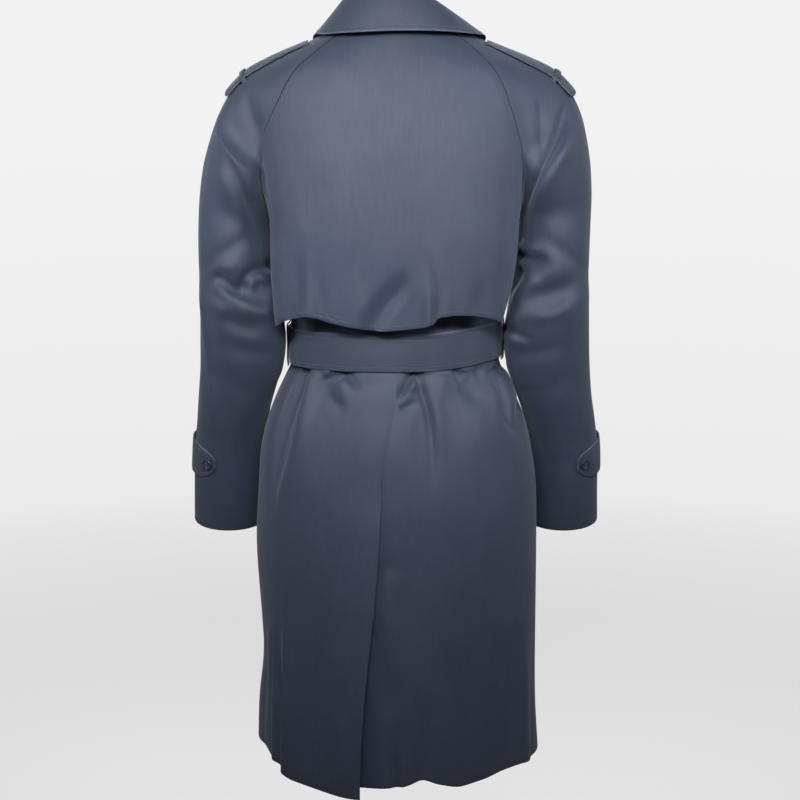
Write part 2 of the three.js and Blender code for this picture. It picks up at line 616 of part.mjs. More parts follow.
function stormFlap() {
  const columns = 26;
  const top = BACK_CAP.slice(0, -3);
  const fixed = top[top.length - 1];
  const levels = [...top.map((z) => ({ z, t: 0 })), ...heights(0, 1, 1 / 6).slice(1).map((t) => ({ z: fixed, t }))];
  levels[0].z = -4;
  const rows = levels.map((level) => Array.from({ length: columns + 1 }, (_, j) => {
    const u = j / columns * 2 - 1;
    const side = u >= 0 ? "left" : "right";
    let z = level.z;
    let reach = 0;
    for (let pass = 0; pass < 5; pass += 1) {
      const sewn = read(RAGLAN_BACK, "z", side, z) - 1.4;
      const loose = Math.min(sewn, read(FLAP_SIDES, "z", side, z));
      reach = THREE.MathUtils.lerp(sewn, loose, smooth(-160, -200, z));
      z = level.z + (read(FLAP_EDGE, "x", "z", u * reach) - level.z) * level.t;
    }
    return flapPoint(u * reach, z);
  }));
  return cloth(rows);
}

/** Row of the collar table on either side. */
function collarAt(column, turn) {
  return read(COLLAR, "turn", column, Math.abs(turn)) * (column.endsWith("X") ? Math.sign(turn) : 1);
}

/** Neck edge of the coat, on which the stand sits: back, sleeve tops, fronts. */
function neckPoint(turn) {
  const side = turn >= 0 ? 1 : -1;
  const t = Math.abs(turn);
  const seam = turnAt(0, RAGLAN_BACK[0].left);
  let point;
  if (t < 42) point = bodyPoint(0, side * seam * t / 42);
  else if (t < 90) point = sleevePoint(side, 0, "back", (t - 42) / 48);
  else if (t < 122) point = sleevePoint(side, 0, "front", 1 - (t - 90) / 32);
  else {
    const z = NECK_FRONT + (GORGE.z - NECK_FRONT) * (t - 122) / 28;
    point = frontPoint(side, frontEdge(z), z, 0);
  }
  return point.add(vec(0, 0, SEAM + 0.3 + 1.1 * smooth(60, 96, t) + 0.8 * smooth(105, 120, t)));
}

const COLLAR_TURNS = heights(-150, 150, 12.5);

function collarStand() {
  const rows = [0, 0.5, 1].map((t) => COLLAR_TURNS.map((turn) => {
    const low = neckPoint(turn);
    const high = vec(collarAt("rollX", turn), collarAt("rollY", turn), collarAt("rollZ", turn));
    return low.lerp(high, t);
  }));
  return cloth(rows);
}

function collarFall() {
  const rows = [0, 0.12, 0.4, 0.7, 1].map((t) => COLLAR_TURNS.map((turn) => {
    const roll = vec(collarAt("rollX", turn), collarAt("rollY", turn), collarAt("rollZ", turn));
    const edge = vec(collarAt("edgeX", turn), collarAt("edgeY", turn), collarAt("edgeZ", turn));
    const out = vec(roll.x, roll.y, 0).normalize();
    const start = roll.clone().addScaledVector(out, SEAM + CLOTH).add(vec(0, 0, 0.6));
    const bow = out.clone().multiplyScalar(6 * Math.sin(Math.PI * t ** 0.6));
    return start.lerp(edge, t).add(bow);
  }));
  return cloth(rows);
}

function epaulette(side) {
  const rows = EPAULETTE.map((row) => [-1, -0.5, 0, 0.5, 1].map((u) => {
    const part = u >= 0 ? "back" : "front";
    const reach = read(CAP.map((cap, index) => ({ ...cap, index })), "index", "ridgeReach", row.at * 9);
    const t = 1 - Math.abs(u) * row.half / (3 * reach);
    return sleevePoint(side, row.at, part, t, row.lift + CLOTH);
  }));
  return cloth(rows, CLOTH, sleeveCore(side));
}

/** Keeper across the epaulette, sewn down in front of and behind it. */
function epauletteLoop(side) {
  const reach = read(CAP.map((cap, index) => ({ ...cap, index })), "index", "ridgeReach", 0.47 * 9);
  const offsets = [-1, -0.9, -0.8, -0.4, 0, 0.4, 0.8, 0.9, 1].map((u) => u * KEEPER_HALF);
  const rows = offsets.map((offset) => [0.452, 0.476].map((s) => {
    const part = offset >= 0 ? "back" : "front";
    const t = 1 - Math.abs(offset) / (3 * reach);
    const lift = Math.abs(offset) > 0.85 * KEEPER_HALF ? 0.75 : 8.6;
    return sleevePoint(side, s, part, t, lift);
  }));
  return cloth(rows, CLOTH, sleeveCore(side));
}

/** Cuff tab: from the underarm seam round the front of the cuff to its rounded end behind. */
function cuffTab(side) {
  const path = [
    ...heights(1 / SLEEVE_COLUMNS, 1, 1 / SLEEVE_COLUMNS).map((t) => ({ part: "front", t, share: 1 })),
    { part: "back", t: 1 - 1 / SLEEVE_COLUMNS, share: 1 },
    { part: "back", t: 1 - 2 / SLEEVE_COLUMNS, share: 0.91 },
    { part: "back", t: 0.69, share: 0.68 },
    { part: "back", t: 0.65, share: 0.36 },
  ];
  const rows = path.map((row) => [-1, -0.33, 0.33, 1].map((u) => {
    const s = 2 - (CUFF_TAB_RISE - u * row.share * CUFF_TAB_HALF) / ARM_LENGTH;
    return sleevePoint(side, s, row.part, row.t, 0.5 + CLOTH);
  }));
  return cloth(rows, CLOTH, sleeveCore(side));
}

/** Height offset of the belt, which climbs on the wearer's right. */
const beltRise = (turn) => BELT_RISE * smooth(-0.15, -1.1, turn) * (turn > -Math.PI ? 1 : 0);

function belt() {
  const stops = [
    { turn: -178.2, lift: 7.4 }, { turn: -174, lift: 7.2 }, { turn: -160, lift: 7.2 }, { turn: -140, lift: 7.6 },
    { turn: -110, lift: 5 }, { turn: -90, lift: 3.6 }, { turn: 90, lift: 3.4 }, { turn: 110, lift: 4.6 },
    { turn: 135, lift: 6.6 }, { turn: 160, lift: 6.8 }, { turn: 169, lift: 7.6 }, { turn: 173.5, lift: 10 },
    { turn: 176.5, lift: 17.6 }, { turn: 183.5, lift: 17.6 }, { turn: 187, lift: 11 }, { turn: 194, lift: 10 },
    { turn: 206, lift: 10 }, { turn: 222, lift: 10.2 }, { turn: 240, lift: 9 },
  ];
  const turns = [];
  for (let i = 0; i < stops.length - 1; i += 1) {
    const step = Math.abs(stops[i + 1].turn - stops[i].turn) > 12 ? 7 : 4;
    turns.push(...heights(stops[i].turn, stops[i + 1].turn, step).slice(0, -1));
  }
  turns.push(stops[stops.length - 1].turn);
  const rows = turns.map((turn) => [0, 0.5, 1].map((u) => {
    const lift = read(stops, "turn", "lift", turn);
    const point = bodyPoint(BELT_TOP, degrees(turn), lift);
    point.z -= BELT_WIDTH / 2;
    const tip = turn > 222 ? (turn - 222) / 18 * 8 : 0;
    const half = BELT_WIDTH / 2 - tip;
    const wrapped = turn > 180 ? turn - 360 : turn;
    point.z += half * (1 - 2 * u) + beltRise(degrees(wrapped)) * (1 - smooth(-2.4, -3.05, degrees(wrapped)));
    return point;
  }));
  return cloth(rows, BELT_CLOTH);
}

function beltLoop(side) {
  const middle = BELT_TOP - BELT_WIDTH / 2 + (side < 0 ? BELT_RISE : 0);
  const rows = [
    { z: 37, lift: 2.3 }, { z: 31, lift: 2.3 }, { z: 27, lift: 5.9 }, { z: 0, lift: 5.9 }, { z: -27, lift: 5.9 },
    { z: -32, lift: 3.6 },
  ].map((row) => [-BELT_LOOP_HALF, 0, BELT_LOOP_HALF].map((offset) => {
    const z = middle + row.z;
    const turn = side * Math.PI / 2 + offset / 105;
    const at = bodyPoint(BELT_TOP, turn, row.lift);
    const low = bodyPoint(z, turn, row.lift);
    return Math.abs(row.z) > 30 ? low : vec(at.x, at.y, z);
  }));
  return cloth(rows);
}

function buckleFrame() {
  const { halfWidth, halfHeight, bar, corner, thick } = BUCKLE;
  const outline = [];
  for (const [sx, sz] of [[1, 1], [-1, 1], [-1, -1], [1, -1]]) {
    const cut = [[halfWidth, halfHeight - corner], [halfWidth - corner, halfHeight]];
    if (sx * sz < 0) cut.reverse();
    cut.forEach(([x, z]) => outline.push(new THREE.Vector2(sx * x, sz * z)));
  }
  const shape = new THREE.Shape(outline);
  const inX = halfWidth - bar;
  const inZ = halfHeight - bar;
  shape.holes.push(new THREE.Path([[-inX, -inZ], [inX, -inZ], [inX, inZ], [-inX, inZ]]
    .map(([x, z]) => new THREE.Vector2(x, z))));
  const geometry = new THREE.ExtrudeGeometry(shape, { depth: thick, bevelEnabled: false });
  geometry.rotateX(Math.PI / 2);
  geometry.translate(0, BUCKLE_Y, BELT_TOP - BELT_WIDTH / 2);
  return geometry;
}

/** Middle bar of the buckle, on which the belt's end is sewn. */
function buckleBar() {
  const inside = 2 * (BUCKLE.halfHeight - BUCKLE.bar - SEAM);
  const geometry = new THREE.BoxGeometry(5, BUCKLE.thick, inside);
  geometry.translate(0, BUCKLE_Y - BUCKLE.thick / 2, BELT_TOP - BELT_WIDTH / 2);
  return geometry;
}

function buckleProng() {
  const z = BELT_TOP - BELT_WIDTH / 2;
  const rows = [
    vec(3, BUCKLE_Y - 9.8, z), vec(-10, BUCKLE_Y - 9, z), vec(-21, BUCKLE_Y - 6.2, z), vec(-29, BUCKLE_Y - 5.4, z),
  ].map((p) => [-2, 2].map((offset) => vec(p.x, p.y, p.z + offset)));
  return cloth(rows, 2, (p) => vec(p.x, 0, p.z));
}

/** A sewn-on button facing along a direction. */
function button(radius, thick, centre, direction) {
  const profile = [
    new THREE.Vector2(0, 0), new THREE.Vector2(radius, 0), new THREE.Vector2(radius, thick * 0.8),
    new THREE.Vector2(radius * 0.86, thick), new THREE.Vector2(radius * 0.7, thick * 0.72),
    new THREE.Vector2(0, thick * 0.72),
  ];
  const geometry = new THREE.LatheGeometry(profile, 12);
  geometry.applyQuaternion(new THREE.Quaternion().setFromUnitVectors(vec(0, 1, 0), direction.clone().normalize()));
  geometry.translate(centre.x, centre.y, centre.z);
  return geometry;
}

const coat = new THREE.Group();

function add(name, geometry, color, roughness = 0.62) {
  const mesh = new THREE.Mesh(geometry, new THREE.MeshStandardMaterial({ color, roughness, metalness: 0 }));
  mesh.name = name;
  coat.add(mesh);
}

const SIDES = [{ side: 1, name: "left" }, { side: -1, name: "right" }];
for (const { side, name } of SIDES) {
  add(`back_${name}`, backPanel(side), NAVY);
  add(`front_${name}`, frontPanel(side), NAVY);
  add(`lapel_${name}`, lapel(side), NAVY);
  add(`sleeve_${name}_back`, sleevePiece(side, "back"), NAVY);
  add(`sleeve_${name}_front`, sleevePiece(side, "front"), NAVY);
  add(`epaulette_${name}`, epaulette(side), NAVY);
  add(`epaulette_loop_${name}`, epauletteLoop(side), NAVY);
  add(`cuff_tab_${name}`, cuffTab(side), NAVY);
  add(`belt_loop_${name}`, beltLoop(side), NAVY);
  const level = 2 - CUFF_TAB_RISE / ARM_LENGTH;
  const seat = sleevePoint(side, level, "back", 0.73, 0.6 + CLOTH + SEAM);
  const outer = sleevePoint(side, level, "back", 0.73, 10);
  add(`cuff_button_${name}`, button(CUFF_BUTTON_RADIUS, CUFF_BUTTON_THICK, seat, outer.sub(seat)), HORN, 0.35);
}
add("storm_flap", stormFlap(), NAVY);
add("collar_stand", collarStand(), NAVY);
add("collar_fall", collarFall(), NAVY);
add("belt", belt(), NAVY_DARK);
add("buckle_frame", buckleFrame(), HORN, 0.4);
add("buckle_bar", buckleBar(), HORN, 0.4);
add("buckle_prong", buckleProng(), HORN, 0.4);

FRONT_BUTTON_HEIGHTS.forEach((z, row) => {
  [1, -1].forEach((sign, column) => {
    const x = sign * FRONT_BUTTON_X;
    const turn = turnAt(z, x, true);
    const seat = bodyPoint(z, turn, LAP_LIFT + 2 * SEAM);
    const rise = bodyPoint(z + 8, turn).sub(bodyPoint(z - 8, turn));
    const across = bodyPoint(z, turn + 0.02).sub(bodyPoint(z, turn - 0.02));
    const facing = rise.cross(across).normalize();
    if (facing.y > 0) facing.negate();
    add(`front_button_${row * 2 + column + 1}`, button(BUTTON_RADIUS, BUTTON_THICK, seat, facing), HORN, 0.35);
  });
});

export default coat;
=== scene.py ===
"""Worn navy trench coat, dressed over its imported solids: cloth, sewing, buttons, belt and a plain studio."""

import logging
import math
from dataclasses import dataclass, field
from enum import Enum

import bmesh
import bpy
import numpy as np
from mathutils import Matrix, Vector


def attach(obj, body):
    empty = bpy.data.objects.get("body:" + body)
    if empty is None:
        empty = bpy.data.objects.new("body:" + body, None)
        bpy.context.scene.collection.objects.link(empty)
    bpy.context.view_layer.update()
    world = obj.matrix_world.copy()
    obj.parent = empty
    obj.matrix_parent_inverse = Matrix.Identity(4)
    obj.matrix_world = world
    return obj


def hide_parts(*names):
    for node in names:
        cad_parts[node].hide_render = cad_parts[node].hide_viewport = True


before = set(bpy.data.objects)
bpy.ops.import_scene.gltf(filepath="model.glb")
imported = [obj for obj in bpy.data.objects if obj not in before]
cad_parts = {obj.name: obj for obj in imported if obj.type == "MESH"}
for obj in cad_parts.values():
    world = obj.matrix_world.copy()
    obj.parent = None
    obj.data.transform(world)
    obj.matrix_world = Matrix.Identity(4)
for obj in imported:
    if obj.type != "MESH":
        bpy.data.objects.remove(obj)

log = logging.getLogger("trench_coat")
Array = np.ndarray
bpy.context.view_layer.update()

MM = 0.001  # the tables below are in millimetres, Blender in metres
CLOTH = 1.6  # thickness of a piece of the coat
BELT_CLOTH = 2.4
SEAM = 0.3  # gap between two pieces that are sewn together
HEM = -1050.0  # heights count from the neck seam at the middle of the back
HEM_WAVE_TOP = -900.0
UNDERARM = -268.0
BELT_TOP = -424.0
BELT_WIDTH = 50.0
BELT_MIDDLE = BELT_TOP - BELT_WIDTH / 2
BELT_RISE = 9.0  # the belt lies this much higher on the wearer's right
SKIRT_TOP = BELT_TOP - BELT_WIDTH
BREAK = -252.0  # a lapel starts to turn back here
NECK_FRONT = -26.0
NECK_X = 65.0  # half width of the neck edge in front
GORGE_X, GORGE_Z = 54.0, -50.2  # where lapel and collar meet on the neck edge
FRONT_OVERLAP = 95.0
LAP_LIFT = 3.4  # the left front lies this far over the right one
VENT_TOP = -637.0
VENT_UNDERLAP = 46.0
VENT_GAPE = 12.0
FLAP_LIFT = 3.2  # the storm flap lies this far over the back
FLAP_FREE = -190.0  # below this the flap's sides are no longer sewn in
CUFF_TAB_RISE = 106.0
ARM_LENGTH = 550.0
BUCKLE_Y = -110.4
STITCH_INSET = 6.0  # a row of topstitching lies this far inside its edge
SHARP_ANGLE = 60.0  # degrees; a flatter edge is shaded smooth
LEAST_FLAT = 0.0101  # metres, the least side of a sheet's flat size
STITCH_START = 3.0  # and starts this far from the piece's corner
WAVE_PITCH = 0.314  # metres from crest to crest of a wave texture of scale 1


class Side(Enum):
    """Wearer's side, with the sign of its X."""

    LEFT = 1
    RIGHT = -1

    @property
    def word(self) -> str:
        """Name of the side as the nodes spell it."""
        return self.name.lower()


class Edge(Enum):
    """One of the four edges of a cut piece's grid."""

    TOP = "first row"
    BOTTOM = "last row"
    START = "first column"
    END = "last column"


SIDE_EDGES = (Edge.START, Edge.END)
FREE_EDGES = (Edge.BOTTOM, *SIDE_EDGES)


class Held(Enum):
    """How a sheet of cloth is held."""

    HUNG = "hung"
    LAID = "laid"
    FOLDED = "folded"


class Slot(Enum):
    """Material slots of the record."""

    CLOTH = "outer_cloth"
    BELT = "belt_cloth"
    BUTTON = "button"
    BUCKLE = "buckle"


def smooth(start: float, end: float, value: Array | float) -> Array:
    """Soft step from 0 at start to 1 at end.

    Args:
        start: Value where the step begins.
        end: Value where it is complete.
        value: Where it is read.

    Returns:
        The step, of the shape of value.
    """
    t = np.clip((np.asarray(value, float) - start) / (end - start), 0, 1)
    return t * t * (3 - 2 * t)


def unit(vectors: Array) -> Array:
    """Vectors of length one."""
    return vectors / np.maximum(np.linalg.norm(vectors, axis=-1, keepdims=True), 1e-9)


def steps(*stops: tuple[float, int] | float) -> Array:
    """Values from a first one through further ones.

    Args:
        *stops: The first value, then pairs of a further value and the number of steps to it.

    Returns:
        The values.
    """
    values = [np.array([stops[0]], float)]
    for to, count in stops[1:]:
        values.append(np.linspace(values[-1][-1], to, count + 1)[1:])
    return np.concatenate(values)


class Table:
    """Rows of named columns, read at any key by a smooth curve through them."""

    def __init__(self, columns: str, rows: list[tuple[float, ...]], indexed: bool = False) -> None:
        """Keep the rows in the order of their key.

        Args:
            columns: Names of the columns, the key first.
            rows: One tuple for each row.
            indexed: The key is the row's own number instead.
        """
        names, data = columns.split(), np.array(rows, float)
        if indexed:
            names, data = ["index", *names], np.column_stack([np.arange(len(data)), data])
        self.rows = data[np.argsort(data[:, 0])]
        self.names = {name: i for i, name in enumerate(names)}

    def read(self, column: str, at: Array | float) -> Array:
        """Value of a column at a key.

        Args:
            column: Name of the column.
            at: Key, or keys.

        Returns:
            The values there.
        """
        keys, values = self.rows[:, 0], self.rows[:, self.names[column]]
        last = len(keys) - 1
        near = np.arange(last + 1)
        before, after = np.maximum(near - 1, 0), np.minimum(near + 1, last)
        slopes = (values[after] - values[before]) / (keys[after] - keys[before])
        value = np.clip(at, keys[0], keys[-1])
        i = np.clip(np.searchsorted(keys, value) - 1, 0, last - 1)
        span = keys[i + 1] - keys[i]
        t = (value - keys[i]) / span
        t2, t3 = t * t, t * t * t
        return ((2 * t3 - 3 * t2 + 1) * values[i] + (t3 - 2 * t2 + t) * span * slopes[i]
                + (3 * t2 - 2 * t3) * values[i + 1] + (t3 - t2) * span * slopes[i + 1])

    def on_side(self, at: Array | float, x: Array) -> Array:
        """Value of the left column where x is 0 or more, and of the right one elsewhere."""
        return np.where(x >= 0, self.read("left", at), self.read("right", at))


BODY = Table("z left right back front square", [
    (8, 70, 70, 57, 48, 0), (0, 76, 76, 60, 52, 0), (-22, 104, 103, 73, 62, 0),
    (-45, 146, 144, 84, 76, 0.01), (-72, 206, 204, 94, 90, 0.02), (-90, 222, 220, 99, 97, 0.02),
    (-116, 218, 214, 105, 104, 0.03), (-171, 204, 197, 114, 114, 0.04), (-215, 193, 184, 118, 118, 0.05),
    (-268, 178, 168, 115, 119, 0.05), (-300, 172, 160, 110, 117, 0.05), (-340, 164, 152, 103, 111, 0.05),
    (-395, 154, 146, 94, 102, 0.03), (-413, 150, 143, 91, 99, 0.02), (-424, 150, 143, 91, 99, 0.02),
    (-474, 150, 143, 91, 99, 0.02), (-493, 158, 152, 99, 106, 0.02), (-520, 171, 165, 108, 114, 0.02),
    (-560, 186, 181, 120, 122, 0.02), (-600, 195, 190, 128, 128, 0.02), (-651, 199, 197, 134, 132, 0.02),
    (-737, 203, 199, 138, 136, 0.02), (-888, 196, 200, 141, 139, 0.02), (-980, 203, 202, 144, 142, 0.02),
    (-1060, 206, 207, 147, 145, 0.02),
])
RAGLAN_BACK = Table("z left right", [
    (0, 52, 50), (-12, 63, 60), (-27, 77, 75), (-50, 106, 103), (-71, 131, 124), (-92, 146, 137),
    (-116, 158, 146), (-149, 174, 157), (-171, 181, 163), (-215, 184, 170), (-245, 182, 171),
    (-268, 178, 168),
])
RAGLAN_FRONT = Table("z left right", [
    (-22, 70, 70), (-45, 90, 89), (-80, 114, 112), (-120, 134, 130), (-165, 152, 146), (-215, 168, 158),
    (-250, 176, 167), (-268, 178, 168),
])
CAP = Table("left right y z swing seam_reach ridge_reach", [
    (78, 78, -3, -8, 0, 18, 16), (104, 104, -4, -27, 0, 24, 24), (140, 140, -5, -45, 2, 30, 34),
    (174, 177, -6, -60, 6, 34, 44), (203, 210, -6, -76, 12, 40, 56), (224, 232, -4, -97, 22, 42, 62),
    (240, 247, -2, -124, 38, 48, 72), (254, 257, 0, -158, 57, 60, 79), (266, 264, 2, -199, 76, 75, 84),
    (273, 267, 3, -243, 90, 87, 87),
], indexed=True)
CAP_END = len(CAP.rows) - 1  # key of its last row, at the underarm
ARM_ROWS = [
    (-300, 225.5, 215.5, 5, 50, 65, 4, 0, 9), (-350, 223, 212, 7, 52, 63, 8, 1, 4),
    (-400, 219, 209.5, 8, 56, 60, 12, 3, 2), (-440, 217, 208, 5, 60, 55, 14, 7, 0),
    (-480, 220, 212, -4, 59.5, 51, 11, 12, -2), (-520, 229, 221, -18, 55.5, 50, 6, 15, -4),
    (-560, 237, 231.5, -32, 52, 49, 2, 16, -3), (-610, 243, 238.5, -47, 52, 48, 0, 16, 0),
    (-665, 246, 240, -61, 53, 47, 0, 15, 0), (-720, 248, 242, -75, 54, 46, 0, 14, 0),
]
ARM_COLUMNS = "z left right y wide deep yaw pitch roll"
FLAP_SECTIONS = Table("z left right back square", [
    (-171, 204, 197, 114, 0.04), (-215, 197, 188, 118, 0.05), (-268, 192, 182, 120, 0.06),
    (-340, 190, 180, 120, 0.06), (-420, 188, 172, 119, 0.06),
])
FLAP_SIDES = Table("z left right", [
    (-171, 178, 160), (-200, 178, 164), (-233, 175, 165), (-276, 172, 162), (-323, 171, 159),
    (-365, 169, 151), (-410, 165, 139),
])
FLAP_EDGE = Table("x z", [
    (-145, -406), (-119, -398), (-87, -394), (-62, -395), (-53, -398), (-46, -405), (-25, -411),
    (25, -415), (50, -412), (89, -404), (114, -397), (124, -396), (134, -398), (150, -404), (168, -414),
])
BODY_FOLDS = [  # turn round the body from the middle of the back, top, bottom, half width, depth
    (59, -476, -690, 11, -8), (36, -476, -545, 12, -5), (20, -478, -600, 22, 4), (-11, -476, -640, 12, -5),
    (-38, -476, -535, 12, -4), (-61, -478, -580, 10, -7), (66, -850, -1100, 9, 4), (118, -476, -640, 13, -6),
    (142, -478, -590, 13, -5), (-114, -476, -660, 13, -7), (-140, -478, -570, 12, -5),
    (126, -423, -330, 14, -4), (-124, -423, -320, 14, -4), (30, -423, -350, 16, -4),
    (-25, -423, -340, 16, -4),
]
HEM_WAVE = Table("x rise", [
    (-205, 4), (-180, 8), (-150, 9), (-120, 2), (-86, -2), (-58, 2), (-34, 8), (-14, 2), (10, -2),
    (50, -3), (90, -4), (140, -6), (160, -4), (172, 8), (184, 20), (200, 24), (212, 18),
])
FLAP_FOLDS = [  # x, top, bottom, half width, depth
    (124, -270, -440, 14, 4), (146, -300, -440, 10, -3), (-8, -320, -440, 30, -4), (-52, -270, -440, 15, 9),
    (-70, -300, -440, 12, -3),
]
SLEEVE_FOLDS = [  # height, side (0 behind, 1 outside), half width, span, depth, slope
    (-372, -0.3, 14, 0.9, -8, 26), (-398, -0.2, 12, 1.0, 5, 20), (-318, 0.1, 13, 0.8, -4, -46),
    (-455, -0.4, 12, 0.6, -4, 18),
]
COLLAR = Table("turn roll_x roll_y roll_z edge_x edge_y edge_z", [
    (-150, -57, -76, -43, -97, -102, -95), (-130, -69, -50, -24, -112, -80, -60),
    (-110, -78, -25, -12, -119, -42, -36), (-85, -76, 7, -3, -118, 12, -28), (-60, -62, 38, 7, -102, 58, -27),
    (-30, -39, 62, 19, -60, 90, -25), (0, 0, 70, 32, 0, 98, -24.5), (30, 39, 61, 32, 58, 90, -26.5),
    (60, 62, 37, 26, 98, 58, -27.5), (85, 70, 7, 15, 112, 12, -26), (110, 73, -25, -1, 117, -40, -34),
    (130, 69, -50, -20, 112, -80, -60), (150, 57, -76, -43, 97, -102, -95),
])
LAPELS = {
    Side.LEFT: Table("roll_x roll_z edge_x edge_z", [
        (-92, -249, -89, -247), (-70, -219, -52, -224), (-44, -183, -4, -195), (-18, -148, 42, -160),
        (14, -104, 84, -128), (50, -55, 104, -100),
    ], indexed=True),
    Side.RIGHT: Table("roll_x roll_z edge_x edge_z", [
        (5, -116, 40, -163), (18, -98, 68, -142), (33, -78, 92, -118), (50, -55, 104, -100),
    ], indexed=True),
}
EPAULETTE = Table("at half lift", [
    (0.165, 25, 1.1), (0.24, 25, 2.6), (0.33, 24.5, 2.8), (0.42, 24.5, 3.0), (0.48, 24.5, 3.2),
    (0.53, 24.5, 3.6), (0.565, 24.5, 4.2), (0.58, 23, 4.4), (0.588, 20, 4.4), (0.592, 15, 4.4),
])
BELT_STOPS = Table("turn lift", [
    (-178.2, 7.4), (-174, 7.2), (-160, 7.2), (-140, 7.6), (-110, 5), (-90, 3.6), (90, 3.4), (110, 4.6),
    (135, 6.6), (160, 6.8), (169, 7.6), (173.5, 10), (176.5, 17.6), (183.5, 17.6), (187, 11), (194, 10),
    (206, 10), (222, 10.2), (240, 9),
])
HALVINGS = 40  # enough to find an angle to the last digit
FRONT_BUTTON_HEIGHTS = (-290.0, -388.0, -548.0, -672.0)
FRONT_BUTTON_X = 66.0


@dataclass(frozen=True)
class Crease:
    """A soft ridge or trough along a line of (x, z) points of a piece.

    depth is outward, so a trough's is below 0. wide is its half width. It rises over the share of its
    length that start gives, and dies out over the share that end gives. Above 0, lean narrows the side of
    larger x of a line that runs down and widens the other, so that it is steep there. crisp sharpens its
    crest, from 0 to 1.
    """

    path: tuple[tuple[float, float], ...]
    depth: float
    wide: float
    start: float
    end: float
    lean: float = 0.0
    crisp: float = 0.0

    def line(self, count: int = 28) -> Array:
        """The path as a smooth line.

        Args:
            count: Number of its points.

        Returns:
            The points, in (x, z).
        """
        points = np.array(self.path, float)
        if len(points) == 2:
            return points[0] + (points[1] - points[0]) * np.linspace(0, 1, count)[:, None]
        knots = np.concatenate([[0], np.cumsum(np.linalg.norm(np.diff(points, axis=0), axis=1))])
        columns = Table("at x z", [(k, *p) for k, p in zip(knots, points)])
        at = np.linspace(0, knots[-1], count)
        return np.column_stack([columns.read("x", at), columns.read("z", at)])

    def height(self, x: Array, z: Array) -> Array:
        """Outward height at points of a piece.

        Args:
            x: Places across.
            z: Heights.

        Returns:
            Height of the crease there, in millimetres.
        """
        out = np.zeros(x.shape)
        line = self.line()
        reach = 3.2 * self.wide * (1 + abs(self.lean))
        low, high = line.min(0) - reach, line.max(0) + reach
        near = (x > low[0]) & (x < high[0]) & (z > low[1]) & (z < high[1])
        if not near.any():
            return out
        p = np.column_stack([x[near], z[near]])
        a, b = line[:-1], line[1:]
        ab = b - a
        t = np.clip(((p[:, None] - a) * ab).sum(-1) / (ab ** 2).sum(-1), 0, 1)
        away = p[:, None] - (a + ab * t[..., None])
        far = np.linalg.norm(away, axis=-1)
        k = far.argmin(1)
        rows = np.arange(len(p))
        distance = far[rows, k]
        along = (k + t[rows, k]) / len(ab)
        hand = np.sign(ab[k, 0] * away[rows, k, 1] - ab[k, 1] * away[rows, k, 0])
        wide = self.wide * (1 - hand * self.lean)
        profile = ((1 - self.crisp) * np.exp(-((distance / wide) ** 2))
                   + self.crisp * np.exp(-distance / (0.55 * wide)))
        taper = smooth(0, max(self.start, 1e-3), along) * smooth(1, 1 - max(self.end, 1e-3), along)
        out[near] = self.depth * profile * taper
        return out


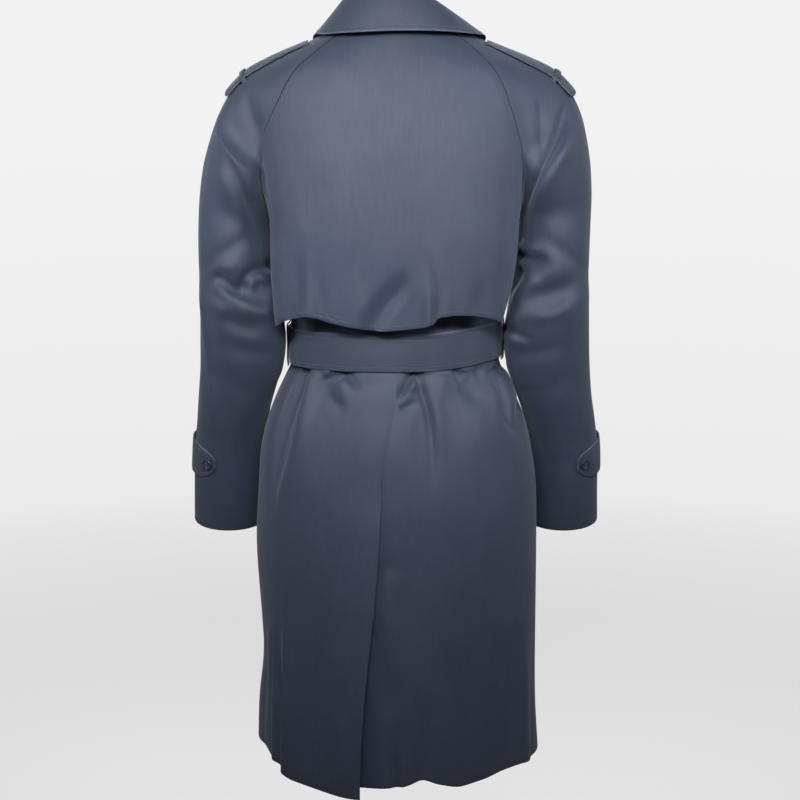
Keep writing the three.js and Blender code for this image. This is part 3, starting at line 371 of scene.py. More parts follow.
class BodyForm:
    """The worn body of the coat as ovals one below another."""

    def oval(self, width: Array, depth: Array, square: Array, turn: Array) -> tuple[Array, Array, Array]:
        """Point and outward normal of flattened ovals.

        Args:
            width: Half widths.
            depth: Half depths.
            square: How flat their sides are.
            turn: Angles from straight behind, towards the wearer's left.

        Returns:
            X, Y and the normals.
        """
        x = width * (np.sin(turn) + square * np.sin(3 * turn)) / (1 - square)
        y = depth * (np.cos(turn) - square * np.cos(3 * turn)) / (1 - square)
        dx = width * (np.cos(turn) + 3 * square * np.cos(3 * turn))
        dy = -depth * (np.sin(turn) - 3 * square * np.sin(3 * turn))
        return x, y, unit(np.stack([-dy, dx, np.zeros_like(dx)], -1))

    def point(self, z: Array | float, turn: Array | float, lift: Array | float = 0.0) -> Array:
        """Points of the body, lift outside its face.

        Args:
            z: Heights.
            turn: Angles round the body.
            lift: Distance outside.

        Returns:
            The points, in millimetres.
        """
        z, turn = np.broadcast_arrays(np.asarray(z, float), np.asarray(turn, float))
        width = BODY.on_side(z, np.sin(turn))
        depth = np.where(np.cos(turn) >= 0, BODY.read("back", z), BODY.read("front", z))
        x, y, normal = self.oval(width, depth, BODY.read("square", z), turn)
        fold = np.zeros(z.shape)
        for at, top, bottom, wide, height in BODY_FOLDS:
            gap = turn - math.radians(at)
            gap = gap - 2 * math.pi * np.round(gap / (2 * math.pi))
            along = np.clip((z - top) / (bottom - top), 0, 1)
            across = gap * (width + depth) / 2 / wide
            fold += height * np.exp(-(across ** 2)) * np.sin(math.pi * np.sqrt(along))
        return np.stack([x, y, z], -1) + normal * (np.asarray(lift) + fold)[..., None]

    def turn_at(self, z: Array | float, x: Array | float, front: bool = False) -> Array:
        """Angle at which the body is x from the middle.

        Args:
            z: Heights.
            x: Places across.
            front: On the front and not the back.

        Returns:
            The angles.
        """
        z, x = np.broadcast_arrays(np.asarray(z, float), np.asarray(x, float))
        width = BODY.on_side(z, x)
        low = self.solve(np.minimum(np.abs(x) / width, 1), BODY.read("square", z))
        return (math.pi - low if front else low) * np.where(x >= 0, 1, -1)

    def solve(self, wanted: Array, square: Array) -> Array:
        """Angle of an oval at a share of its half width, by halving.

        Args:
            wanted: Shares of the half width.
            square: How flat the oval's sides are.

        Returns:
            The angles, up to a quarter turn.
        """
        low, high = np.zeros(wanted.shape), np.full(wanted.shape, math.pi / 2)
        for _ in range(HALVINGS):
            middle = (low + high) / 2
            short = (np.sin(middle) + square * np.sin(3 * middle)) / (1 - square) < wanted
            low, high = np.where(short, middle, low), np.where(short, high, middle)
        return low

    def belt_rise(self, turn: Array) -> Array:
        """How far the belt climbs on the wearer's right."""
        return BELT_RISE * smooth(-0.15, -1.1, turn) * (turn > -math.pi)

    def front_edge(self, z: Array) -> Array:
        """Where a front ends: at the neck, on the roll line or at the lapped edge.

        Args:
            z: Heights.

        Returns:
            Places across, below 0 past the middle.
        """
        roll = -FRONT_OVERLAP + (z - BREAK) / (GORGE_Z - BREAK) * (GORGE_X + FRONT_OVERLAP)
        neck = GORGE_X + (z - GORGE_Z) / (NECK_FRONT - GORGE_Z) * (NECK_X - GORGE_X)
        return np.where(z < BREAK, -FRONT_OVERLAP, np.where(z > GORGE_Z, neck, roll))

    def front_lift(self, side: Side, x: Array) -> Array:
        """Lift of a front panel: the left one lies over the right one."""
        return LAP_LIFT * smooth(FRONT_OVERLAP + 32, FRONT_OVERLAP + 4, x) * (side is Side.LEFT)

    def front_point(self, side: Side, x: Array, z: Array, lift: Array | float) -> Array:
        """Points of a front at x, towards its own side, and z."""
        sign = side.value
        return self.point(z, self.turn_at(z, sign * x, True), lift + self.front_lift(side, sign * x))


class SleeveForm:
    """A raglan sleeve as arcs from its seam over the ridge of the arm, neck to cuff."""

    def __init__(self, body: BodyForm, side: Side) -> None:
        """Work out the first ring below the underarm.

        Args:
            body: The body it is sewn to.
            side: Which sleeve it is.
        """
        self.body, self.side = body, side
        inner = float(BODY.read(side.word, UNDERARM))
        last_x, last_z = float(CAP.read(side.word, CAP_END)), float(CAP.read("z", CAP_END))
        wide = math.hypot(last_x - inner, last_z - UNDERARM) / 2
        roll = math.degrees(math.atan2(last_z - UNDERARM, last_x - inner))
        middle = (last_x + inner) / 2
        first = ((last_z + UNDERARM) / 2, middle, middle, 1.5, wide, 65.2, 1, 0, roll)
        self.arm = Table(ARM_COLUMNS, [first, *ARM_ROWS], indexed=True)

    def cap_arcs(self, s: Array, back: bool) -> Array:
        """Arcs from the raglan seam to the ridge.

        Args:
            s: Stations from the neck (0) to the underarm (1).
            back: On the rear half and not the front half.

        Returns:
            Control points of the arcs, N by 4 by 3.
        """
        side, sign = self.side.value, 1 if back else -1
        height = UNDERARM * s if back else NECK_FRONT + (UNDERARM - NECK_FRONT) * s
        seams = RAGLAN_BACK if back else RAGLAN_FRONT
        turn = self.body.turn_at(height, side * seams.read(self.side.word, height), not back)
        gap = SEAM / 2 / BODY.read("left", height) * sign * side * (1 - smooth(0.85, 1, s))
        start = self.body.point(height, turn + gap)
        ahead, behind = turn + gap + side * 0.02, turn + gap - side * 0.02
        along = unit(self.body.point(height, ahead) - self.body.point(height, behind)) * sign
        cap = {name: CAP.read(name, s * CAP_END) for name in CAP.names}
        swing = smooth(0, 1, cap["swing"] / 90)[:, None]
        direction = unit(along * (1 - swing) + np.array([side * 0.06, sign, 0]) * swing)
        start[:, 1] += SEAM * smooth(0.85, 1, s) * sign
        start[:, 0] += side * SEAM * smooth(0.55, 1, s)
        ridge = np.stack([side * cap[self.side.word], cap["y"] + sign * SEAM / 2, cap["z"]], -1)
        hug = np.array([0, sign, 0]) * cap["ridge_reach"][:, None]
        return np.stack([start, start + direction * cap["seam_reach"][:, None], ridge + hug, ridge], 1)

    def arm_arcs(self, s: Array, back: bool) -> Array:
        """Arcs of the tilted arm rings.

        Args:
            s: Stations from the underarm (1) to the cuff (2).
            back: On the rear half and not the front half.

        Returns:
            Control points of the arcs, N by 4 by 3.
        """
        side, sign = self.side.value, 1 if back else -1
        at = {name: self.arm.read(name, (s - 1) * len(ARM_ROWS)) for name in ARM_COLUMNS.split()}
        middle = np.stack([side * at[self.side.word], at["y"], at["z"]], -1)
        x, y, z = -np.radians(at["pitch"]), -side * np.radians(at["roll"]), -side * np.radians(at["yaw"])
        a, b, c, d, e, f = np.cos(x), np.sin(x), np.cos(y), np.sin(y), np.cos(z), np.sin(z)
        out = side * np.stack([c * e - d * f * b, c * f + d * e * b, -a * d], -1)
        rear = np.stack([-a * f, a * e, b], -1)
        hug = rear * (sign * at["deep"] * 4 / 3)[:, None]
        start = middle - out * at["wide"][:, None] + rear * sign * SEAM / 2
        ridge = middle + out * at["wide"][:, None] + rear * sign * SEAM / 2
        return np.stack([start, start + hug, ridge + hug, ridge], 1)

    def arcs(self, s: Array, back: bool) -> Array:
        """Arcs at all stations.

        Args:
            s: Stations, neck 0, underarm 1, cuff 2.
            back: On the rear half and not the front half.

        Returns:
            Control points of the arcs, N by 4 by 3.
        """
        cap = self.cap_arcs(np.minimum(s, 1), back)
        arm = self.arm_arcs(np.maximum(s, 1), back)
        return np.where((s <= 1)[:, None, None], cap, arm)

    def at(self, s: Array, t: Array, back: bool) -> Array:
        """Points on the arcs, without folds.

        Args:
            s: Stations.
            t: Shares of the arc, seam 0, ridge 1.
            back: On the rear half and not the front half.

        Returns:
            The points.
        """
        q, u = self.arcs(s, back), (1 - t)[:, None]
        t = t[:, None]
        return q[:, 0] * u ** 3 + 3 * q[:, 1] * u * u * t + 3 * q[:, 2] * u * t * t + q[:, 3] * t ** 3

    def point(self, s: Array | float, t: Array | float, back: bool, lift: Array | float = 0.0) -> Array:
        """Points of the sleeve, lift outside its face, with its large folds.

        Args:
            s: Stations, neck 0, underarm 1, cuff 2.
            t: Shares of the arc, seam 0, ridge 1.
            back: On the rear half and not the front half.
            lift: Distance outside.

        Returns:
            The points, in millimetres.
        """
        s, t, lift = np.broadcast_arrays(*(np.asarray(v, float) for v in (s, t, lift)))
        shape = s.shape
        s, t, lift = s.ravel(), t.ravel(), lift.ravel()
        point = self.at(s, t, back)
        ahead, behind = np.clip(t + 0.002, 0, 1), np.clip(t - 0.002, 0, 1)
        tangent = self.at(s, ahead, back) - self.at(s, behind, back)
        course = self.at(np.minimum(s + 0.01, 2), t, back) - self.at(np.maximum(s - 0.01, 0), t, back)
        normal = unit(np.cross(tangent, course)) * ((1 if back else -1) * self.side.value)
        fold = np.zeros(len(s))
        if back:
            for height, side, wide, span, depth, slope in SLEEVE_FOLDS:
                across = point[:, 2] - height - slope * ((t * 2 - 1) - side)
                spread = ((t * 2 - 1) - side) / span
                fold += depth * np.exp(-((across / wide) ** 2) - spread ** 2 * 1.6)
            fold *= np.sin(math.pi * t)
        return (point + normal * (lift + fold)[:, None]).reshape(*shape, 3)

    def over_ridge(self, s: Array, across: Array, reach: Array | float, lift: Array | float) -> Array:
        """Points near the ridge of the arm, lift outside its face.

        Args:
            s: Stations.
            across: Distances behind the ridge, below 0 before it.
            reach: How far the arcs bow out at those stations.
            lift: Distance outside.

        Returns:
            The points, in millimetres.
        """
        t = 1 - np.abs(across) / (3 * reach)
        rear, front = self.point(s, t, True, lift), self.point(s, t, False, lift)
        return np.where((across >= 0)[..., None], rear, front)

    def core(self, p: Array) -> Array:
        """Middle of the sleeve near some points, to tell outside from inside.

        Args:
            p: The points.

        Returns:
            A point inside the sleeve for each of them.
        """
        z = np.clip(p[..., 2], ARM_ROWS[-1][0], ARM_ROWS[0][0])
        rings = Table(ARM_COLUMNS, ARM_ROWS)
        x = np.where(p[..., 2] > ARM_ROWS[0][0], 150, rings.read(self.side.word, z))
        return np.stack([self.side.value * x, rings.read("y", z), np.minimum(p[..., 2], -160)], -1)


def axis_core(p: Array) -> Array:
    """Points on the upright middle line of the body, beside some points."""
    return np.stack([np.zeros(p.shape[:-1]), np.zeros(p.shape[:-1]), p[..., 2]], -1)


def grid_normals(points: Array, core: Array) -> Array:
    """Outward normals of a grid of points.

    Args:
        points: The grid, rows by columns by 3.
        core: A point inside for each of them.

    Returns:
        The normals.
    """
    along, across = np.gradient(points, axis=0), np.gradient(points, axis=1)
    normal = unit(np.cross(across, along))
    return normal * np.sign((normal * unit(points - core)).sum())


def chord(points: Array, axis: int) -> Array:
    """Distance along the grid from its first row or column.

    Args:
        points: The grid, rows by columns by 3.
        axis: 0 down the rows, 1 along them.

    Returns:
        The distances.
    """
    step = np.linalg.norm(np.diff(points, axis=axis), axis=-1)
    pad = [(0, 0), (0, 0)]
    pad[axis] = (1, 0)
    return np.pad(np.cumsum(step, axis=axis), pad)


@dataclass
class ThreadWork:
    """Topstitching: single raised stitches along lines, joined in one mesh."""

    name: str
    pitch: float = 3.4
    length: float = 2.6
    radius: float = 0.34
    verts: list[Array] = field(default_factory=list)
    faces: list[Array] = field(default_factory=list)

    def row(self, line: Array, normals: Array) -> None:
        """Sew along a line.

        Args:
            line: Points on the cloth, in millimetres.
            normals: Outward normals there.
        """
        at = np.concatenate([[0], np.cumsum(np.linalg.norm(np.diff(line, axis=0), axis=1))])
        if at[-1] < 2 * self.pitch:
            return
        middle = np.arange(self.pitch, at[-1] - self.pitch, self.pitch)
        offsets = np.array([-0.5, -0.22, 0.22, 0.5]) * self.length
        where = middle[:, None] + offsets
        point = np.stack([np.interp(where, at, line[:, k]) for k in range(3)], -1)
        out = unit(np.stack([np.interp(where, at, normals[:, k]) for k in range(3)], -1))
        ahead = unit(np.stack([np.interp(where + 0.5, at, line[:, k]) for k in range(3)], -1)
                     - np.stack([np.interp(where - 0.5, at, line[:, k]) for k in range(3)], -1))
        across = unit(np.cross(out, ahead))
        rise = np.array([-0.25, 0.2, 0.2, -0.25])[None, :, None]
        fat = np.array([0.45, 1, 1, 0.45])[None, :, None] * self.radius
        middle_line = point + out * rise
        ring = np.stack([middle_line + across * fat, middle_line + out * fat * 0.9,
                         middle_line - across * fat, middle_line - out * fat * 0.9], 2)
        base = sum(len(v) for v in self.verts)
        count = len(middle)
        self.verts.append(ring.reshape(-1, 3))
        start = base + np.arange(count)[:, None] * 16
        quads = []
        for i in range(3):
            for k in range(4):
                n = (k + 1) % 4
                quads.append(np.column_stack([start + i * 4 + k, start + i * 4 + n,
                                              start + i * 4 + 4 + n, start + i * 4 + 4 + k]))
        quads.append(np.column_stack([start + k for k in (3, 2, 1, 0)]))
        quads.append(np.column_stack([start + 12 + k for k in range(4)]))
        self.faces.append(np.concatenate(quads))

    def build(self, finish: "ThreadFinish", slot: Slot = Slot.CLOTH) -> bpy.types.Object | None:
        """Make the joined stitches as one object that rides on the coat.

        Args:
            finish: The thread's finish.
            slot: Not used.

        Returns:
            The object, or None where nothing was sewn.
        """
        if not self.verts:
            return None
        obj = new_mesh(self.name, np.concatenate(self.verts), np.concatenate(self.faces))
        obj.data.materials.append(finish.material())
        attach(obj, "root")
        return obj


def new_mesh(name: str, verts: Array, faces: Array | list[tuple[int, ...]]) -> bpy.types.Object:
    """An object from points in millimetres, shaded smooth but for its sharp edges.

    Args:
        name: Object name.
        verts: Points, in millimetres.
        faces: Lists of point numbers.

    Returns:
        The object, linked to the scene.
    """
    mesh = bpy.data.meshes.new(name)
    mesh.from_pydata((verts * MM).tolist(), [], faces.tolist() if isinstance(faces, np.ndarray) else faces)
    mesh.update()
    mesh.polygons.foreach_set("use_smooth", np.ones(len(mesh.polygons), bool))
    mesh.set_sharp_from_angle(angle=math.radians(SHARP_ANGLE))
    obj = bpy.data.objects.new(name, mesh)
    bpy.context.scene.collection.objects.link(obj)
    return obj


def fix_normals(obj: bpy.types.Object) -> None:
    """Turn a closed mesh's faces outward.

    Args:
        obj: The mesh object.
    """
    work = bmesh.new()
    work.from_mesh(obj.data)
    bmesh.ops.recalc_face_normals(work, faces=work.faces)
    work.to_mesh(obj.data)
    work.free()


def tube(rings: int, around: int, base: int = 0, closed: bool = False) -> list[tuple[int, ...]]:
    """Faces between rings of points.

    Args:
        rings: Number of rings.
        around: Points in each.
        base: Number of the first point.
        closed: The last ring is joined to the first.

    Returns:
        The faces.
    """
    return [(base + i * around + j, base + i * around + (j + 1) % around,
             base + (i + 1) % rings * around + (j + 1) % around, base + (i + 1) % rings * around + j)
            for i in range(rings if closed else rings - 1) for j in range(around)]


@dataclass
class ClothPiece:
    """One cut piece: a closed wall under a grid of outer points, rounded where its edge is folded."""

    name: str
    points: Array
    core: Array
    wall: float = CLOTH
    folded: tuple[Edge, ...] = ()
    sewn: tuple[Edge, ...] = ()
    held: Held = Held.HUNG
    slot: Slot = Slot.CLOTH
    creases: tuple[Crease, ...] = ()
    free_below: float = math.inf  # the side edges are stitched edges below this height alone
    joined: tuple[Edge, ...] = ()  # edges that reach out to close the gap to the next piece
    round_reach: float = 0.42  # how far a folded edge bulges, as a share of the wall
    join_reach: float = 0.6 * SEAM
    sewn_flat: float = 7.0  # creases die out over this distance to a sewn edge
    far: float = 60.0  # distances from stitched edges are kept up to this

    def __post_init__(self) -> None:
        """Press the creases into the points."""
        self.normals = grid_normals(self.points, self.core)
        if self.creases:
            height = sum(c.height(self.points[..., 0], self.points[..., 2]) for c in self.creases)
            height[1:-1] = (height[:-2] + 2 * height[1:-1] + height[2:]) / 4
            height[:, 1:-1] = (height[:, :-2] + 2 * height[:, 1:-1] + height[:, 2:]) / 4
            self.points = self.points + self.normals * self.fasten(height)[..., None]
            self.normals = grid_normals(self.points, self.core)

    def fasten(self, height: Array) -> Array:
        """Creases die out towards the sewn edges that are not folded free.

        Args:
            height: Heights of the creases over the grid.

        Returns:
            The heights with their edges held down.
        """
        hold = np.ones(height.shape)
        for edge, away in self.distances().items():
            if edge not in self.folded:
                hold *= smooth(0, self.sewn_flat, away)
        return height * hold

    def distances(self) -> dict[Edge, Array]:
        """Distance of every point from each of the four edges.

        Returns:
            Distances over the grid, by edge.
        """
        down, across = chord(self.points, 0), chord(self.points, 1)
        return {Edge.TOP: down, Edge.BOTTOM: down[-1] - down, Edge.START: across,
                Edge.END: across[:, -1:] - across}

    def edge_distance(self) -> Array:
        """Distance from the nearest stitched edge.

        Returns:
            The distance over the grid.
        """
        away = self.distances()
        out = np.full(self.points.shape[:2], self.far)
        for edge in self.sewn:
            caught = (edge in SIDE_EDGES) & (self.points[..., 2] > self.free_below)
            out = np.minimum(out, np.where(caught, self.far, away[edge]))
        return out

    def inset(self, edge: Edge, trim: tuple[float, float]) -> tuple[Array, Array]:
        """Line on the cloth where a row of stitches lies inside an edge.

        Args:
            edge: Which edge.
            trim: Lengths left off at its two ends.

        Returns:
            Points and outward normals along the line.
        """
        rows = edge in (Edge.TOP, Edge.BOTTOM)
        points = self.points if rows else self.points.transpose(1, 0, 2)
        normals = self.normals if rows else self.normals.transpose(1, 0, 2)
        if edge in (Edge.BOTTOM, Edge.END):
            points, normals = points[::-1], normals[::-1]
        down = chord(points, 0)
        i = np.clip((down < STITCH_INSET).sum(0), 1, len(points) - 1)
        j = np.arange(points.shape[1])
        t = np.clip((STITCH_INSET - down[i - 1, j]) / (down[i, j] - down[i - 1, j]), 0, 1)[:, None]
        line = points[i - 1, j] * (1 - t) + points[i, j] * t
        out = unit(normals[i - 1, j] * (1 - t) + normals[i, j] * t)
        at = np.concatenate([[0], np.cumsum(np.linalg.norm(np.diff(line, axis=0), axis=1))])
        keep = (at >= trim[0]) & (at <= at[-1] - trim[1])
        return line[keep], out[keep]

    def stitch(self, name: str, rows: dict[Edge, tuple[float, float]], finish: "ThreadFinish",
               below: float = math.inf) -> bpy.types.Object | None:
        """Topstitch rows inside some of the edges.

        Args:
            name: Name of the stitches.
            rows: Lengths left unsewn at the two ends of each edge's row.
            finish: The thread's finish.
            below: Height under which they are sewn.

        Returns:
            The stitches as one object, or None where nothing was sewn.
        """
        threads = ThreadWork(name)
        for edge, trim in rows.items():
            line, out = self.inset(edge, trim)
            keep = line[:, 2] < below
            threads.row(line[keep], out[keep])
        return threads.build(finish, self.slot)

    def build(self, finish: "ClothFinish", node: str, stitches: bpy.types.Object | None = None) -> None:
        """Args:
            finish: Finish of the cloth.
            node: CAD node that it stands for.
            stitches: Not used.
        """
        m, n = self.points.shape[:2]
        inner = self.points - self.normals * self.wall
        loop = ([(0, j) for j in range(n)] + [(i, n - 1) for i in range(1, m)]
                + [(m - 1, j) for j in range(n - 2, -1, -1)] + [(i, 0) for i in range(m - 2, 0, -1)])
        ring = np.array(loop)
        reach = np.zeros((m, n, 3))
        for edge in self.folded:
            if edge in (Edge.TOP, Edge.BOTTOM):
                at, next_at = (0, 1) if edge is Edge.TOP else (-1, -2)
                reach[at] += unit(self.points[at] - self.points[next_at])
            else:
                at, next_at = (0, 1) if edge is Edge.START else (-1, -2)
                reach[:, at] += unit(self.points[:, at] - self.points[:, next_at])
        bulges = np.linalg.norm(reach, axis=-1, keepdims=True) > 0.1
        middle = (self.points + inner) / 2 + unit(reach + 1e-12) * self.wall * self.round_reach * bulges
        for edge in self.joined:
            at, next_at = (0, 1) if edge is Edge.START else (-1, -2)
            middle[:, at] += unit(self.points[:, at] - self.points[:, next_at]) * self.join_reach
        rim = middle[ring[:, 0], ring[:, 1]]
        verts = np.concatenate([self.points.reshape(-1, 3), inner.reshape(-1, 3), rim])
        number = np.arange(m * n).reshape(m, n)
        a, b, c, d = number[:-1, :-1], number[:-1, 1:], number[1:, 1:], number[1:, :-1]
        quads = np.stack([a, b, c, d], -1).reshape(-1, 4)
        cross = np.cross(self.points[0, 1] - self.points[0, 0], self.points[1, 0] - self.points[0, 0])
        flip = (cross * self.normals[0, 0]).sum() < 0
        outer_ids, mid_ids = number[ring[:, 0], ring[:, 1]], 2 * m * n + np.arange(len(loop))
        inner_ids = outer_ids + m * n
        step = np.roll(np.arange(len(loop)), -1)
        rims = np.concatenate([
            np.column_stack([outer_ids, mid_ids, mid_ids[step], outer_ids[step]]),
            np.column_stack([mid_ids, inner_ids, inner_ids[step], mid_ids[step]]),
        ])
        faces = np.concatenate([quads, quads[:, ::-1] + m * n, rims])
        if flip:
            faces = faces[:, ::-1]
        obj = new_mesh(self.name, verts, faces)
        self.paint(obj, ring)
        obj.data.materials.append(finish.material())
        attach(obj, "root")
        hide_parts(node)
        length = float(np.median(chord(self.points, 0)[-1])) * MM
        width = float(chord(self.points, 1)[:, -1].max()) * MM
        area = self.area() * MM * MM
        width, length = max(width, LEAST_FLAT), max(length, LEAST_FLAT, area / max(width, LEAST_FLAT))
        log.info("%s: %d by %d mm cut, %d faces", self.name, width / MM, length / MM, len(faces))

    def area(self) -> float:
        """Area of the outer face.

        Returns:
            Square millimetres.
        """
        p = self.points
        one = np.cross(p[:-1, 1:] - p[:-1, :-1], p[1:, :-1] - p[:-1, :-1])
        two = np.cross(p[:-1, 1:] - p[1:, 1:], p[1:, :-1] - p[1:, 1:])
        return float((np.linalg.norm(one, axis=-1) + np.linalg.norm(two, axis=-1)).sum() / 2)

    def paint(self, obj: bpy.types.Object, ring: Array) -> None:
        """Lay the weave's own coordinates and the distance from stitched edges on the mesh.

        Args:
            obj: The piece.
            ring: Row and column of each point of its rim.
        """
        mesh = obj.data
        across, down = chord(self.points, 1), chord(self.points, 0)
        grid = np.stack([across - across[:, -1:] / 2, down], -1) * MM
        edge = self.edge_distance()
        uv = np.concatenate([grid.reshape(-1, 2), grid.reshape(-1, 2), grid[ring[:, 0], ring[:, 1]]])
        near = np.concatenate([edge.ravel(), edge.ravel(), edge[ring[:, 0], ring[:, 1]]])
        corners = np.empty(len(mesh.loops), np.int32)
        mesh.loops.foreach_get("vertex_index", corners)
        layer = mesh.uv_layers.new(name="weave")
        layer.data.foreach_set("uv", uv[corners].astype(np.float32).ravel())
        mesh.attributes.new("edge_mm", "FLOAT", "POINT").data.foreach_set("value", near.astype(np.float32))


class NodeBench:
    """A material's node tree, with short ways to add and join nodes."""

    def __init__(self, name: str) -> None:
        """Start an empty tree with a shader joined to its output.

        Args:
            name: Name of the material.
        """
        self.material = bpy.data.materials.new(name)
        self.material.use_nodes = True
        self.nodes, self.links = self.material.node_tree.nodes, self.material.node_tree.links
        self.nodes.clear()
        self.shader = self.nodes.new("ShaderNodeBsdfPrincipled")
        output = self.nodes.new("ShaderNodeOutputMaterial")
        self.links.new(self.shader.outputs[0], output.inputs[0])

    def add(self, kind: str, values: dict | None = None, joins: dict | None = None,
            **settings: object) -> bpy.types.Node:
        """Add a node.

        Args:
            kind: Type of the node, without its prefix.
            values: Numbers and colours of its inputs.
            joins: Outputs that its inputs are joined to.
            **settings: Properties of the node.

        Returns:
            The node.
        """
        node = self.nodes.new("ShaderNode" + kind)
        for key, value in settings.items():
            setattr(node, key, value)
        for key, value in (values or {}).items():
            node.inputs[key].default_value = value
        for key, socket in (joins or {}).items():
            self.links.new(socket, node.inputs[key])
        return node

    def math(self, operation: str, a: object, b: object = 0.0) -> bpy.types.NodeSocket:
        """Result of a sum on numbers or sockets.

        Args:
            operation: Which sum.
            a: First number or socket.
            b: Second number or socket.

        Returns:
            The result.
        """
        node = self.add("Math", operation=operation)
        for i, value in enumerate((a, b)):
            if isinstance(value, (int, float)):
                node.inputs[i].default_value = value
            else:
                self.links.new(value, node.inputs[i])
        return node.outputs[0]

    def noise(self, place: bpy.types.NodeSocket, scale: float, detail: float = 3.0,
              rough: float = 0.55) -> bpy.types.NodeSocket:
        """Strength of a noise at a place."""
        return self.add("TexNoise", {"Scale": scale, "Detail": detail, "Roughness": rough},
                        {"Vector": place}).outputs["Fac"]

    def ramp(self, value: bpy.types.NodeSocket, low: float, high: float, start: float = 0.0,
             end: float = 1.0) -> bpy.types.NodeSocket:
        """Value mapped from one range to another."""
        return self.add("MapRange", {"From Min": low, "From Max": high, "To Min": start, "To Max": end},
                        {"Value": value}).outputs[0]

    def mix(self, share: object, one: object, two: object) -> bpy.types.NodeSocket:
        """Mix of two colours.

        Args:
            share: Share of the second, a number or a socket.
            one: First colour or socket.
            two: Second colour or socket.

        Returns:
            The mixed colour.
        """
        node = self.add("Mix", data_type="RGBA")
        for key, value in ((0, share), (6, one), (7, two)):
            if isinstance(value, (int, float)):
                node.inputs[key].default_value = value
            elif isinstance(value, tuple):
                node.inputs[key].default_value = (*value, 1.0)
            else:
                self.links.new(value, node.inputs[key])
        return node.outputs[2]

    def bump(self, height: bpy.types.NodeSocket, distance: float, strength: float = 1.0,
             over: bpy.types.NodeSocket | None = None) -> bpy.types.NodeSocket:
        """Normal bent by a height.

        Args:
            height: The height.
            distance: Metres of a height of one.
            strength: Share of it that shows.
            over: Normal that it adds to.

        Returns:
            The bent normal.
        """
        joins = {"Height": height}
        if over is not None:
            joins["Normal"] = over
        return self.add("Bump", {"Distance": distance, "Strength": strength}, joins).outputs[0]

    def shade(self, values: dict, joins: dict) -> bpy.types.Material:
        """Finish the shader.

        Args:
            values: Numbers and colours of its own sockets.
            joins: Outputs that its other sockets are joined to.

        Returns:
            The material.
        """
        for key, value in values.items():
            self.shader.inputs[key].default_value = value
        for key, socket in joins.items():
            self.links.new(socket, self.shader.inputs[key])
        return self.material


